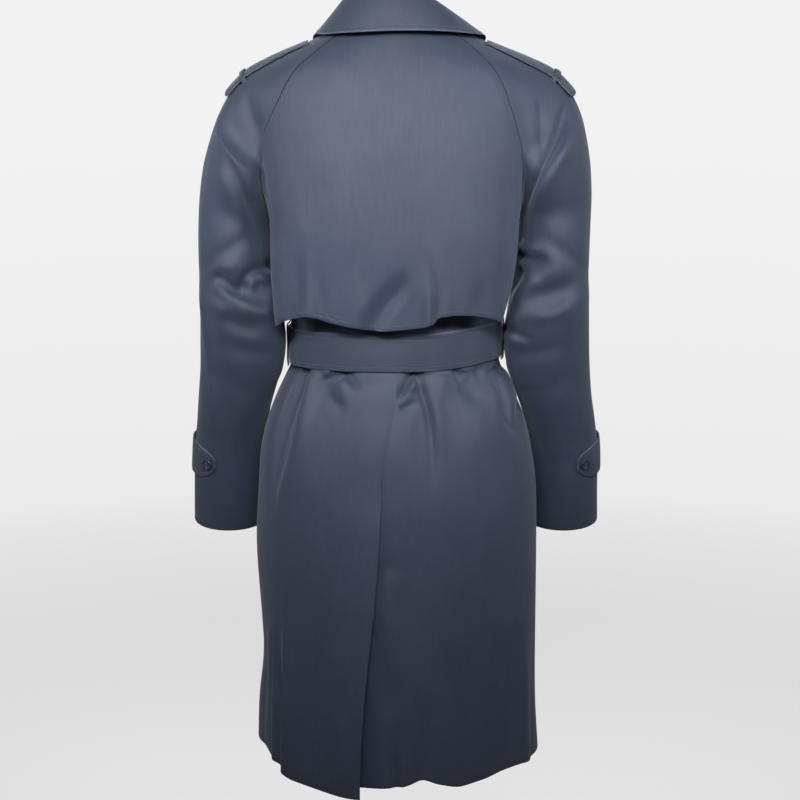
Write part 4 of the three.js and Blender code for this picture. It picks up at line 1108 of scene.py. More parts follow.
@dataclass(frozen=True)
class ClothFinish:
    """Navy cotton gabardine: steep fine twill, soft sheen, small wrinkles, wear and sunk stitch rows with
    painted shade.
    """

    name: str
    colour: tuple[float, float, float]
    worn: tuple[float, float, float]
    roughness: float = 0.62
    specular: float = 0.45
    sheen: float = 0.16
    twill: float = 0.00062
    slant: float = 27.0
    pucker: float = 0.0095
    wrinkle: float = 0.00035

    def material(self) -> bpy.types.Material:
        """Weave, cloudy dye, worn edges, stitch rows sunk by a bump and darkened with painted shade, and small
        wrinkles, made once.

        Returns:
            The material.
        """
        if self.name in bpy.data.materials:
            return bpy.data.materials[self.name]
        bench = NodeBench(self.name)
        weave = bench.add("UVMap", uv_map="weave").outputs[0]
        place = bench.add("TexCoord").outputs["Object"]
        edge = bench.add("Attribute", attribute_name="edge_mm").outputs["Fac"]
        slant = (0, 0, math.radians(self.slant))
        turned = bench.add("Mapping", {"Rotation": slant}, {"Vector": weave}).outputs[0]
        rib = bench.add("TexWave", {"Scale": WAVE_PITCH / self.twill, "Distortion": 0.35, "Detail": 1.0},
                        {"Vector": turned}, bands_direction="X").outputs["Fac"]
        slub_place = bench.add("Mapping", {"Scale": (300, 22, 1)}, {"Vector": weave}).outputs[0]
        slub = bench.noise(slub_place, 1.0, 2.0)
        cloudy = bench.add("Mapping", {"Scale": (1.0, 1.0, 0.45)}, {"Vector": place}).outputs[0]
        broad, patch = bench.noise(cloudy, 6.5, 3.0), bench.noise(place, 34, 4.0)
        tone = bench.mix(bench.ramp(broad, 0.32, 0.68, 0.0, 1.0), self.colour,
                         (self.colour[0] * 1.2, self.colour[1] * 1.32, self.colour[2] * 1.26))
        tone = bench.mix(bench.ramp(slub, 0.4, 0.8, 0.0, 0.1), tone, self.worn)
        tone = bench.mix(bench.ramp(patch, 0.45, 0.75, 0.0, 0.07), tone, self.worn)
        rub = bench.math("MULTIPLY", bench.ramp(edge, 0.2, 2.2, 1.0, 0.0),
                         bench.ramp(patch, 0.35, 0.65, 0.3, 0.9))
        tone = bench.mix(rub, tone, self.worn)
        groove_and_painted_shade = bench.math("ABSOLUTE", bench.math("SUBTRACT", edge, STITCH_INSET))
        # painted shade: the colour is darkened along each stitch row, where its sunk groove would lie in shade
        tone = bench.mix(bench.ramp(groove_and_painted_shade, 0.0, 1.1, 0.35, 0.0), tone, tuple(c * 0.4 for c in self.colour))
        crumple_place = bench.add("Mapping", {"Scale": (1.0, 1.0, 0.5)}, {"Vector": place}).outputs[0]
        normal = bench.bump(bench.noise(crumple_place, 17, 2.0, 0.45), 0.0058, 0.5)
        normal = bench.bump(bench.noise(crumple_place, 48, 3.0, 0.5), 0.0021, 0.5, normal)
        normal = bench.bump(bench.noise(place, 150, 3.0), self.wrinkle, 0.5, normal)
        pucker = bench.add("TexWave", {"Scale": WAVE_PITCH / self.pucker, "Distortion": 5.0, "Detail": 2.0},
                           {"Vector": weave}, bands_direction="DIAGONAL").outputs["Fac"]
        beside = bench.math("ABSOLUTE", bench.math("SUBTRACT", edge, STITCH_INSET * 0.75))
        pull = bench.math("MULTIPLY", pucker, bench.ramp(beside, 0.0, 8.0, 1.0, 0.0))
        normal = bench.bump(pull, 0.0006, 0.6, normal)
        normal = bench.bump(bench.ramp(groove_and_painted_shade, 0.0, 1.4, 0.0, 1.0), 0.0003, 0.8, normal)
        normal = bench.bump(bench.math("ADD", rib, bench.math("MULTIPLY", slub, 0.6)), 0.00006, 0.6, normal)
        rough = bench.math("ADD", bench.ramp(patch, 0.3, 0.7, self.roughness - 0.04, self.roughness + 0.05),
                           bench.math("MULTIPLY", rib, 0.05))
        return bench.shade(
            {"Specular IOR Level": self.specular, "Sheen Weight": self.sheen, "Sheen Roughness": 0.5,
             "Sheen Tint": (0.68, 0.76, 0.9, 1.0), "IOR": 1.5},
            {"Base Color": tone, "Roughness": rough, "Normal": normal})


@dataclass(frozen=True)
class ThreadFinish:
    """Twisted polyester sewing thread, a little lighter than the cloth."""

    name: str = "navy_thread"
    colour: tuple[float, float, float] = (0.05, 0.06, 0.09)
    twist: float = 0.0005

    def material(self) -> bpy.types.Material:
        """Twisted strands, made once.

        Returns:
            The material.
        """
        if self.name in bpy.data.materials:
            return bpy.data.materials[self.name]
        bench = NodeBench(self.name)
        place = bench.add("TexCoord").outputs["Object"]
        twist = bench.add("TexWave", {"Scale": WAVE_PITCH / self.twist, "Distortion": 1.0}, {"Vector": place},
                          bands_direction="DIAGONAL").outputs["Fac"]
        tone = bench.mix(bench.ramp(bench.noise(place, 240), 0.3, 0.7, 0.0, 0.5), self.colour,
                         tuple(c * 0.6 for c in self.colour))
        return bench.shade({"Specular IOR Level": 0.5, "Sheen Weight": 0.2},
                           {"Base Color": tone, "Roughness": bench.ramp(twist, 0, 1, 0.42, 0.6),
                            "Normal": bench.bump(twist, 0.00008, 0.7)})


@dataclass(frozen=True)
class MouldedFinish:
    """Polished dark plastic, faintly cloudy, with fine scratches."""

    name: str
    colour: tuple[float, float, float]
    cloud: tuple[float, float, float]
    roughness: float = 0.24

    def material(self) -> bpy.types.Material:
        """Cloudy plastic with fine scratches, made once.

        Returns:
            The material.
        """
        if self.name in bpy.data.materials:
            return bpy.data.materials[self.name]
        bench = NodeBench(self.name)
        place = bench.add("TexCoord").outputs["Object"]
        cloud_place = bench.add("Mapping", {"Scale": (1, 2.6, 1)}, {"Vector": place}).outputs[0]
        cloud = bench.noise(cloud_place, 190, 4.0)
        tone = bench.mix(bench.ramp(cloud, 0.38, 0.72, 0.0, 0.8), self.colour, self.cloud)
        scratch_place = bench.add("Mapping", {"Scale": (9, 1, 1), "Rotation": (0.4, 0.9, 0.3)},
                                  {"Vector": place}).outputs[0]
        scratch = bench.noise(scratch_place, 420, 2.0)
        rough = bench.ramp(scratch, 0.35, 0.7, self.roughness, self.roughness + 0.16)
        return bench.shade({"Specular IOR Level": 0.5, "Coat Weight": 0.25, "Coat Roughness": 0.16},
                           {"Base Color": tone, "Roughness": rough,
                            "Normal": bench.bump(scratch, 0.00004, 0.5)})


@dataclass(frozen=True)
class StageFinish:
    """Matt pale paper with a faint grain, lit from within a little so that it stays near white."""

    name: str = "pale_paper"
    colour: tuple[float, float, float] = (0.17, 0.17, 0.171)
    lit: tuple[float, float, float] = (0.85, 0.85, 0.855)
    glow: float = 0.78
    near: float = 1.9
    far: float = 3.2

    def material(self) -> bpy.types.Material:
        """Grained paper, which thins out into the pale room far from the coat.

        Returns:
            The material.
        """
        bench = NodeBench(self.name)
        place = bench.add("TexCoord").outputs["Object"]
        grain = bench.noise(place, 60, 2.0)
        tone = bench.mix(bench.ramp(grain, 0.3, 0.7, 0.0, 1.0), self.colour,
                         tuple(c * 0.98 for c in self.colour))
        bench.shade({"Roughness": 0.95, "Specular IOR Level": 0.05, "Emission Strength": self.glow,
                     "Emission Color": (*self.lit, 1.0)}, {"Base Color": tone})
        away = bench.add("VectorMath", operation="LENGTH", joins={0: place}).outputs["Value"]
        share = bench.ramp(away, self.near, self.far)
        gone = bench.add("BsdfTransparent").outputs[0]
        blend = bench.add("MixShader", joins={0: share, 1: bench.shader.outputs[0], 2: gone})
        output = next(n for n in bench.nodes if n.type == "OUTPUT_MATERIAL")
        bench.links.new(blend.outputs[0], output.inputs[0])
        return bench.material


@dataclass(frozen=True)
class RoomFinish:
    """Near white room: what the camera sees of it, and the dimmer light that it gives from above."""

    top: tuple[float, float, float] = (0.89, 0.89, 0.893)
    low: tuple[float, float, float] = (0.77, 0.77, 0.775)
    above: float = 0.16
    below: float = 0.08

    def world(self) -> bpy.types.World:
        """The room, pale where it is seen and dim as a light.

        Returns:
            The world.
        """
        world = bpy.data.worlds.new("pale_room")
        world.use_nodes = True
        nodes, links = world.node_tree.nodes, world.node_tree.links
        nodes.clear()
        height = nodes.new("ShaderNodeSeparateXYZ")
        links.new(nodes.new("ShaderNodeTexCoord").outputs["Generated"], height.inputs[0])
        shades = []
        for start, end, dark, light in ((-0.42, -0.02, self.low, self.top),
                                        (-0.5, 0.8, (self.below,) * 3, (self.above,) * 3)):
            share = nodes.new("ShaderNodeMapRange")
            share.inputs["From Min"].default_value, share.inputs["From Max"].default_value = start, end
            links.new(height.outputs["Z"], share.inputs["Value"])
            mix = nodes.new("ShaderNodeMix")
            mix.data_type = "RGBA"
            mix.inputs[6].default_value, mix.inputs[7].default_value = (*dark, 1.0), (*light, 1.0)
            links.new(share.outputs[0], mix.inputs[0])
            shade = nodes.new("ShaderNodeBackground")
            links.new(mix.outputs[2], shade.inputs["Color"])
            shades.append(shade)
        seen = nodes.new("ShaderNodeMixShader")
        links.new(nodes.new("ShaderNodeLightPath").outputs["Is Camera Ray"], seen.inputs[0])
        links.new(shades[1].outputs[0], seen.inputs[1])
        links.new(shades[0].outputs[0], seen.inputs[2])
        links.new(seen.outputs[0], nodes.new("ShaderNodeOutputWorld").inputs[0])
        return world


@dataclass(frozen=True)
class Looks:
    """Every finish of the coat."""

    cloth: ClothFinish = ClothFinish("navy_gabardine", (0.0137, 0.0197, 0.0405), (0.06, 0.075, 0.11))
    belt: ClothFinish = ClothFinish("belt_gabardine", (0.0125, 0.0178, 0.036), (0.055, 0.07, 0.1), 0.6)
    thread: ThreadFinish = ThreadFinish()
    button: MouldedFinish = MouldedFinish("navy_button", (0.012, 0.015, 0.028), (0.045, 0.052, 0.08))
    buckle: MouldedFinish = MouldedFinish("dark_buckle", (0.008, 0.009, 0.013), (0.02, 0.02, 0.026), 0.34)


def creases(rows: str) -> tuple[Crease, ...]:
    """Creases of a piece.

    Args:
        rows: One a row: depth, half width, start, end, lean and crispness, then x and z of its points.

    Returns:
        The creases.
    """
    table = [[float(word) for word in row.replace(",", " ").split()] for row in rows.strip().splitlines()]
    return tuple(Crease(tuple(zip(row[6::2], row[7::2])), *row[:6]) for row in table)


BACK_CREASES = creases("""
-9.1 5 .01 .7 -.3 .5 71,-473 85,-484 107,-492 118,-494
-9.1 5 .01 .7 .3 .5 71,-473 62,-487 53,-498 44,-505
6.5 9 .25 .7 0 .2 72,-480 74,-500 78,-530
-4.2 10 .3 .4 0 0 98,-503 83,-517 66,-524
3.9 6 .02 .6 0 .1 96,-476 100,-488
-10.4 5 .01 .5 -.4 .5 -23,-473 -11,-496 2,-512 6,-520
-5.2 7 .25 .35 0 .1 0,-520 -14,-521 -27,-508
5.9 7 .2 .5 0 .1 -21,-484 -18,-504
-9.1 5.5 .01 .75 .5 .5 -23,-473 -30,-499 -38,-525 -43,-555 -45,-604 -44,-660
4.4 10 .2 .7 0 0 -44,-500 -54,-540 -58,-600
-6.5 5 .01 .6 .4 .4 -75,-472 -85,-488 -92,-505
-4.4 13 .2 .5 0 0 -86,-488 -104,-507 -120,-528
3.4 9 .1 .7 0 0 -62,-478 -60,-520
-3.9 6 .02 .7 .2 .2 -108,-474 -116,-500
-8.5 12.5 .01 .5 -.45 0 128,-474 132,-485 139,-513 146,-532 157,-581 168,-628 174,-652 177,-690
4 9 .1 .6 0 .1 116,-478 123,-513 131,-550 144,-610
-5.2 5 .02 .5 0 .3 141,-466 128,-478 118,-484
-7.5 6.5 .02 .35 .4 .3 -136,-474 -142,-509 -150,-546 -158,-569
-5 7 .35 .25 -.2 .2 -168,-520 -170,-549 -163,-574
5 9 .05 .45 0 0 -150,-478 -157,-515 -161,-552
3.9 9 .1 .7 0 0 -132,-478 -136,-530 -146,-590
3.1 22 .2 .7 0 0 -100,-500 -112,-560 -118,-660
3.4 24 .1 .7 0 0 36,-478 38,-560 60,-700
-3.4 4 .1 .6 0 .2 30,-806 36,-809
-3.4 4 .1 .6 0 .2 31,-833 38,-837
-2.1 11 .4 .4 0 0 24,-727 -8,-747
-6.5 4.5 .5 0 -.3 .6 2.5,-950 2.5,-1000 1,-1060
3.4 3.5 .5 0 0 .5 -7,-960 -7,-1060
-3.4 10 .5 .5 0 0 14,-860 11,-965
-4.7 11 .8 0 0 0 -36,-900 -36,-1060
4.2 16 .8 0 0 0 -78,-900 -82,-1060
5.2 3.6 .4 0 .5 .6 175,-850 175,-898 176,-941 178,-1060
-6 5 .5 0 0 .1 168,-800 169,-900 171,-1060
4.7 3.6 .4 0 .3 .6 158,-800 160,-880 162,-950 166,-1060
-3.4 6 .5 0 0 0 186,-820 190,-900 193,-1060
5.2 9 .6 0 .2 .2 -176,-800 -180,-900 -185,-1060
-4.4 7 .6 0 0 .1 -190,-840 -194,-1060
-3.1 26 .6 .2 0 0 110,-700 112,-860 118,-1060
-2.9 30 .6 .2 0 0 -95,-700 -98,-860 -104,-1060
2.3 16 .5 .5 0 0 -118,-640 -122,-760
-3.9 9 .02 .7 0 .1 60,-418 66,-380 86,-340
-3.9 9 .02 .7 0 .1 -60,-415 -70,-375 -90,-330
-3.9 7 .02 .7 0 .2 112,-420 118,-395 126,-370
""")
FRONT_CREASES = creases("""
-4 9 .02 .6 .2 .2 118,-476 126,-540 132,-620
-3.6 8 .02 .6 0 .2 86,-476 84,-510 76,-560
-4.2 9 .02 .6 .2 .2 -112,-474 -120,-530 -130,-640
-3.2 7 .02 .6 0 .3 -128,-474 -146,-500 -158,-530
3.6 12 .1 .7 0 0 100,-478 106,-560
3.6 13 .1 .7 0 0 -96,-478 -102,-580
-3.4 10 .02 .7 0 .1 120,-420 112,-370 90,-310
-3.6 10 .02 .7 0 .1 -118,-414 -110,-360 -96,-300
-2.6 8 .02 .7 0 .1 140,-414 142,-350 150,-290
-3 14 .3 .5 0 0 150,-240 120,-200 104,-150
-3 14 .3 .5 0 0 -144,-236 -118,-190 -104,-140
3.4 16 .6 0 0 0 130,-760 134,-900 136,-1050
3.2 15 .6 0 0 0 -136,-780 -142,-900 -146,-1050
-2.4 24 .6 .1 0 0 60,-800 58,-1050
""")
FLAP_CREASES = creases("""
-5.5 9.5 .7 0 .2 .1 136,-290 131,-323 132,-360 137,-404
2.2 8 .6 0 0 0 118,-300 121,-350 118,-404
-2.2 9 .6 0 0 0 108,-300 104,-404
2.6 9 .6 0 0 0 154,-270 154,-404
-8.5 7 .75 0 .6 .25 -34,-306 -43,-340 -48,-376 -47,-412
3 7 .5 0 0 0 -40,-345 -39,-412
2.8 9 .6 0 0 0 -64,-350 -66,-402
-10.5 13 .4 0 -.35 .1 -17,-330 -3,-360 13,-382 30,-408 44,-440
3 16 .6 0 0 0 42,-350 52,-412
-2.6 12 .6 0 0 0 -110,-330 -112,-402
-2.4 8 .5 .5 0 .1 166,-210 168,-290 165,-350
-2.4 9 .5 .2 0 0 -142,-180 -146,-270 -140,-380
-1.8 16 .4 .4 0 0 -100,-190 -118,-240 -128,-310
-1.8 16 .4 .4 0 0 96,-190 110,-230 120,-290
1.2 36 .5 .5 0 0 10,-80 4,-240
1.2 5 .4 .4 0 0 -58,-60 -66,-72
""")
SLEEVE_CREASES = {
    (Side.LEFT, True): creases("""
-8.1 9 .25 .3 0 .2 201,-92 198,-129 186,-158 180,-179 176,-222
-8.1 8 .3 .15 -.4 .35 230,-176 218,-205 206,-228 191,-265 179,-304
4.9 11 .3 .3 0 0 240,-190 228,-220 216,-250 206,-280
-4.1 6 .5 .1 0 .2 214,-246 186,-251
-4.1 6 .4 .1 0 .2 205,-278 182,-312
5.4 7 .3 .3 0 .1 246,-338 230,-333 214,-338
-13.5 7 .15 .04 0 .5 252,-344 240,-354 228,-364 215,-369 204,-350 187,-338 170,-338
-6.8 9 .4 .1 0 0 199,-361 172,-366
9.5 9 .15 .15 .3 .2 250,-352 239,-366 214,-387 192,-397 168,-400
-4.6 11 .3 .2 0 0 244,-398 216,-414 186,-424
3.2 2.6 .15 .3 0 .6 272,-373 268,-438 263,-498 253,-551
-3.2 12 .2 .4 0 0 262,-385 256,-470 248,-540
-2.7 12 .4 .3 0 0 250,-470 228,-505 206,-522
-2.4 14 .4 .4 0 0 262,-560 250,-600 244,-650
6 13 .3 .5 0 0 172,-320 164,-380 161,-430 163,-476
"""),
    (Side.RIGHT, True): creases("""
-6.8 4.5 .3 .4 .4 .5 -185,-108 -190,-153 -189,-200
3.5 8 .4 .4 0 0 -176,-120 -180,-180
-11.5 8 .25 .05 .4 .5 -234,-94 -223,-127 -212,-158 -196,-186 -183,-207 -173,-232 -166,-250 -161,-278 -159,-312
6.8 11 .3 .3 0 .1 -240,-130 -224,-168 -206,-202 -190,-234 -180,-270
4.1 5 .3 .3 0 .2 -204,-150 -192,-176 -182,-196
-12.2 7 .04 .5 0 .5 -157,-324 -184,-326 -212,-330
4.9 7 .1 .5 0 .1 -166,-312 -196,-312
-9.5 8 .1 .4 0 .3 -168,-336 -160,-352 -152,-372 -146,-410
6.1 9 .2 .5 0 0 -190,-345 -176,-372 -168,-402
-4.1 5 .05 .5 0 .3 -146,-420 -161,-429 -192,-438
3.2 6 .1 .5 0 .1 -150,-432 -176,-442
-3.2 5 .2 .5 0 .2 -170,-513 -205,-511
-4.9 11 .3 .3 0 0 -236,-356 -214,-382 -188,-398
-3 12 .4 .3 0 0 -246,-470 -226,-500 -206,-516
-2.4 14 .4 .4 0 0 -254,-560 -246,-600 -238,-650
4 13 .3 .5 0 0 -158,-350 -152,-420 -154,-470
"""),
    (Side.LEFT, False): creases("""
-8.1 8 .3 .1 .2 .3 246,-330 220,-350 188,-352
-7.6 8 .3 .1 0 .3 250,-366 222,-384 186,-384
-5.7 8 .3 .1 0 .2 236,-404 206,-414 184,-410
-6.8 11 .4 .1 0 .2 222,-150 196,-200 178,-250
-5.9 8 .4 .1 0 .2 196,-130 180,-200 178,-256
-3.5 12 .4 .3 0 0 246,-520 222,-548 200,-556
"""),
    (Side.RIGHT, False): creases("""
-8.1 8 .3 .1 .2 .3 -240,-324 -212,-344 -180,-346
-7 8 .3 .1 0 .3 -244,-362 -214,-382 -178,-384
-5.4 8 .3 .1 0 .2 -226,-404 -198,-412 -176,-408
-6.8 11 .4 .1 0 .2 -214,-150 -188,-200 -168,-250
-5.9 8 .4 .1 0 .2 -190,-130 -172,-200 -168,-256
-3.5 12 .4 .3 0 0 -240,-510 -218,-540 -196,-548
"""),
}


@dataclass
class BackPanels:
    """The two halves of the back with their middle seam and the vent, where the left half laps over."""

    body: BodyForm
    columns: int = 108
    seam_drift: float = 23.0
    vent_drift: float = 28.0
    gape_wide: float = 55.0
    corner_drop: float = 12.0
    corner_wide: float = 70.0
    underlap_dip: float = 2.4

    def seam_x(self, z: Array) -> Array:
        """Where the middle seam and the vent's edge run."""
        return self.seam_drift * smooth(SKIRT_TOP, VENT_TOP, z) + self.vent_drift * smooth(VENT_TOP, HEM, z)

    def grid(self, side: Side) -> Array:
        """One half, from the middle seam to the side or raglan seam.

        Args:
            side: Which half.

        Returns:
            Its outer points.
        """
        z = steps(0.0, (UNDERARM, 50), (-413, 36), (BELT_TOP, 3), (SKIRT_TOP, 10), (-570, 50), (-655, 28),
                  (HEM, 96))
        sign, left = side.value, side is Side.LEFT
        raglan = self.body.turn_at(z, sign * RAGLAN_BACK.read(side.word, z))
        edge = np.where(z >= UNDERARM, raglan, sign * math.pi / 2)
        half_width = BODY.read("left", z)
        gap = sign * SEAM / 2 / half_width
        reach = np.zeros(len(z)) if left else VENT_UNDERLAP * smooth(VENT_TOP, VENT_TOP - 18, z)
        first = self.body.turn_at(z, self.seam_x(z) + reach) + gap
        share = np.linspace(0, 1, self.columns + 1)
        turn = first[:, None] + (edge - gap - first)[:, None] * share
        away = np.abs(turn - first[:, None]) * half_width[:, None]
        if left:
            gape = VENT_GAPE * (0.3 * smooth(VENT_TOP, VENT_TOP - 50, z) + 0.7 * smooth(VENT_TOP, HEM, z))
            lift = gape[:, None] * np.exp(-((away / self.gape_wide) ** 2))
        else:
            dip = smooth(VENT_TOP + 40, VENT_TOP, z)[:, None]
            lift = -self.underlap_dip * dip * (1 - smooth(0, 1, (away - reach[:, None] + 4) / 30))
        points = self.body.point(z[:, None] * np.ones(len(share)), turn, lift)
        if left:
            corner = np.exp(-((away / self.corner_wide) ** 2)) * smooth(-960, HEM, z)[:, None]
            points[..., 2] -= self.corner_drop * corner
        points[..., 2] += HEM_WAVE.read("rise", points[..., 0]) * smooth(HEM_WAVE_TOP, HEM, z)[:, None]
        return points

    def build(self, looks: Looks) -> None:
        """Make both halves.

        Args:
            looks: The coat's finishes.
        """
        for side in Side:
            points = self.grid(side)
            piece = ClothPiece(f"back_{side.word}_cloth", points, axis_core(points), CLOTH,
                               (Edge.BOTTOM,), creases=BACK_CREASES, joined=(Edge.END,))
            piece.build(looks.cloth, f"back_{side.word}")


@dataclass
class Fronts:
    """The two fronts, lapped left over right, with their turned lapels."""

    body: BodyForm
    columns: int = 70
    lapel_lift: float = SEAM + CLOTH + 0.6
    lapel_bow: float = 2.6
    lapel_sewn: tuple[float, float] = (4.0, STITCH_INSET)

    def grid(self, side: Side) -> Array:
        """One front, from the side or raglan seam to its lapped edge or roll line.

        Args:
            side: Which front.

        Returns:
            Its outer points.
        """
        z = steps(NECK_FRONT, (UNDERARM, 50), (-413, 28), (BELT_TOP, 3), (SKIRT_TOP, 10), (-655, 40),
                  (HEM, 62))
        sign = side.value
        raglan = self.body.turn_at(z, sign * RAGLAN_FRONT.read(side.word, z), True)
        seam = np.where(z >= UNDERARM, raglan, sign * math.pi / 2)
        first = seam + sign * SEAM / 2 / BODY.read("left", z)
        last = self.body.turn_at(z, sign * self.body.front_edge(z), True)
        last = np.where(sign * last < 0, last + sign * 2 * math.pi, last)
        turn = first[:, None] + (last - first)[:, None] * np.linspace(0, 1, self.columns + 1)
        heights = z[:, None] * np.ones(self.columns + 1)
        across = self.body.point(heights, turn)[..., 0]
        points = self.body.point(heights, turn, self.body.front_lift(side, across))
        behind = smooth(-90, -2, points[..., 1]) * smooth(HEM_WAVE_TOP, HEM, z)[:, None]
        points[..., 2] += HEM_WAVE.read("rise", points[..., 0]) * behind
        return points

    def lapel(self, side: Side) -> Array:
        """A lapel, from its roll line to its outer edge.

        Args:
            side: Which lapel.

        Returns:
            Its outer points.
        """
        table = LAPELS[side]
        key = np.linspace(0, len(table.rows) - 1, 46)[:, None]
        t = np.linspace(0, 1, 26)[None, :]
        read = {name: table.read(name, key) for name in table.names}
        x = read["roll_x"] + (read["edge_x"] - read["roll_x"]) * t
        z = read["roll_z"] + (read["edge_z"] - read["roll_z"]) * t
        bow = np.sin(math.pi * np.minimum(t * 1.4, 0.62)) * np.minimum(1, key if side is Side.LEFT else 1)
        return self.body.front_point(side, x, z, self.lapel_lift + self.lapel_bow * bow)

    def build(self, looks: Looks) -> None:
        """Make both fronts, both lapels and their stitching.

        Args:
            looks: The coat's finishes.
        """
        for side in Side:
            points = self.grid(side)
            front = ClothPiece(f"front_{side.word}_cloth", points, axis_core(points), CLOTH,
                               (Edge.BOTTOM, Edge.END), (Edge.END,), creases=FRONT_CREASES)
            stitches = front.stitch(f"front_{side.word}_stitching", {Edge.END: (0, 0)}, looks.thread, BREAK)
            front.build(looks.cloth, f"front_{side.word}", stitches)
            points = self.lapel(side)
            lapel = ClothPiece(f"lapel_{side.word}_cloth", points, axis_core(points), CLOTH,
                               (Edge.END, Edge.BOTTOM, Edge.TOP), (Edge.END, Edge.BOTTOM), Held.FOLDED)
            rows = {Edge.END: self.lapel_sewn, Edge.BOTTOM: self.lapel_sewn}
            stitches = lapel.stitch(f"lapel_{side.word}_stitching", rows, looks.thread)
            lapel.build(looks.cloth, f"lapel_{side.word}", stitches)


@dataclass
class Sleeves:
    """Two-piece raglan sleeves, each a rear and a front half with seams over and under the arm."""

    forms: dict[Side, SleeveForm]
    columns: int = 60
    flush: float = 1.7  # how far the seam edge of the cap rises to meet the back
    flush_wide: float = 9.0
    swell: float = 10.0  # how far the inner face swells towards the waist
    swell_at: float = 18.0
    swell_wide: float = 14.0

    def grid(self, side: Side, back: bool) -> Array:
        """One half, from the raglan seam (first column) to the ridge of the arm.

        Args:
            side: Which sleeve.
            back: The rear half and not the front half.

        Returns:
            Its outer points.
        """
        form = self.forms[side]
        s = steps(0.0, (1, 69), (2, 125))[:, None]
        t = np.linspace(0, 1, self.columns + 1)[None, :]
        away = t * np.linalg.norm(form.point(s, 1.0, back) - form.point(s, 0.0, back), axis=-1)
        flush = self.flush * np.exp(-((away / self.flush_wide) ** 2)) * smooth(0.78, 0.66, s) * back
        points = form.point(s, t, back, flush)
        waist = smooth(-318, -385, points[..., 2]) * smooth(-530, -468, points[..., 2]) * back
        bulge = np.exp(-(((away - self.swell_at) / self.swell_wide) ** 2)) * smooth(0, 10, away)
        points[..., 0] -= side.value * self.swell * waist * bulge
        join = np.exp(-(((s[:, 0] - 1) / 0.05) ** 2))[:, None, None] * 0.9
        for _ in range(14):
            relaxed = points.copy()
            relaxed[1:-1] = (points[:-2] + points[2:]) / 2
            points = points + (relaxed - points) * join * 0.5
        return points

    def build(self, looks: Looks) -> None:
        """Make the four halves.

        Args:
            looks: The coat's finishes.
        """
        for side in Side:
            for back in (True, False):
                word = "back" if back else "front"
                points = self.grid(side, back)
                core = self.forms[side].core(points)
                piece = ClothPiece(f"sleeve_{side.word}_{word}_cloth", points, core, CLOTH, (Edge.BOTTOM,),
                                   creases=SLEEVE_CREASES[side, back], joined=(Edge.END,) if back else ())
                piece.build(looks.cloth, f"sleeve_{side.word}_{word}")


@dataclass
class StormFlap:
    """The yoke over the shoulder blades, sewn in the neck and raglan seams and free below."""

    body: BodyForm
    columns: int = 160
    rows_sewn: int = 50
    rows_free: int = 70
    top: float = -4.0
    inside_seam: float = 1.4
    seated: float = FLAP_LIFT - CLOTH - 0.35

    def surface(self, x: Array, z: Array) -> Array:
        """The flap's face: close on the back at the top, hanging free below.

        Args:
            x: Places across.
            z: Heights.

        Returns:
            The points.
        """
        on_body = self.body.point(z, self.body.turn_at(z, x), FLAP_LIFT)
        free = smooth(-171, -215, z)
        width = FLAP_SECTIONS.on_side(z, x)
        square = FLAP_SECTIONS.read("square", z)
        turn = self.body.solve(np.minimum(np.abs(x) / width, 1), square)
        y = FLAP_SECTIONS.read("back", z) * (np.cos(turn) - square * np.cos(3 * turn)) / (1 - square)
        fold = np.zeros(x.shape)
        for at, top, bottom, wide, depth in FLAP_FOLDS:
            fold += depth * smooth(top, bottom, z) * np.exp(-(((x - at) / wide) ** 2))
        hung = np.stack([x, y + FLAP_LIFT + fold, z], -1)
        return on_body + (hung - on_body) * free[..., None]

    def grid(self) -> Array:
        """The flap, from the neck down to its waved edge.

        Returns:
            Its outer points.
        """
        fixed = UNDERARM * 0.7
        level = steps(self.top, (fixed, self.rows_sewn), (fixed, self.rows_free))[:, None]
        t = steps(0.0, (0, self.rows_sewn), (1, self.rows_free))[:, None]
        u = np.linspace(-1, 1, self.columns + 1)[None, :]
        z = level * np.ones(u.shape)
        for _ in range(6):
            sewn = RAGLAN_BACK.on_side(z, u) - self.inside_seam
            loose = np.minimum(sewn, FLAP_SIDES.on_side(z, u))
            reach = sewn + (loose - sewn) * smooth(-160, -200, z)
            z = level + (FLAP_EDGE.read("z", u * reach) - level) * t
        seat = self.seated * smooth(12, 0, sewn - reach * np.abs(u)) * smooth(FLAP_FREE, -170, z)
        points = self.surface(u * reach, z)
        return points - grid_normals(points, axis_core(points)) * seat[..., None]

    def build(self, looks: Looks) -> None:
        """Make the flap and the stitching along its free edges.

        Args:
            looks: The coat's finishes.
        """
        points = self.grid()
        flap = ClothPiece("storm_flap_cloth", points, axis_core(points), CLOTH, FREE_EDGES, FREE_EDGES,
                          creases=FLAP_CREASES, free_below=FLAP_FREE)
        rows = {Edge.BOTTOM: (STITCH_INSET, STITCH_INSET), Edge.START: (0, STITCH_INSET),
                Edge.END: (0, STITCH_INSET)}
        stitches = flap.stitch("storm_flap_stitching", rows, looks.thread, FLAP_FREE)
        flap.build(looks.cloth, "storm_flap", stitches)


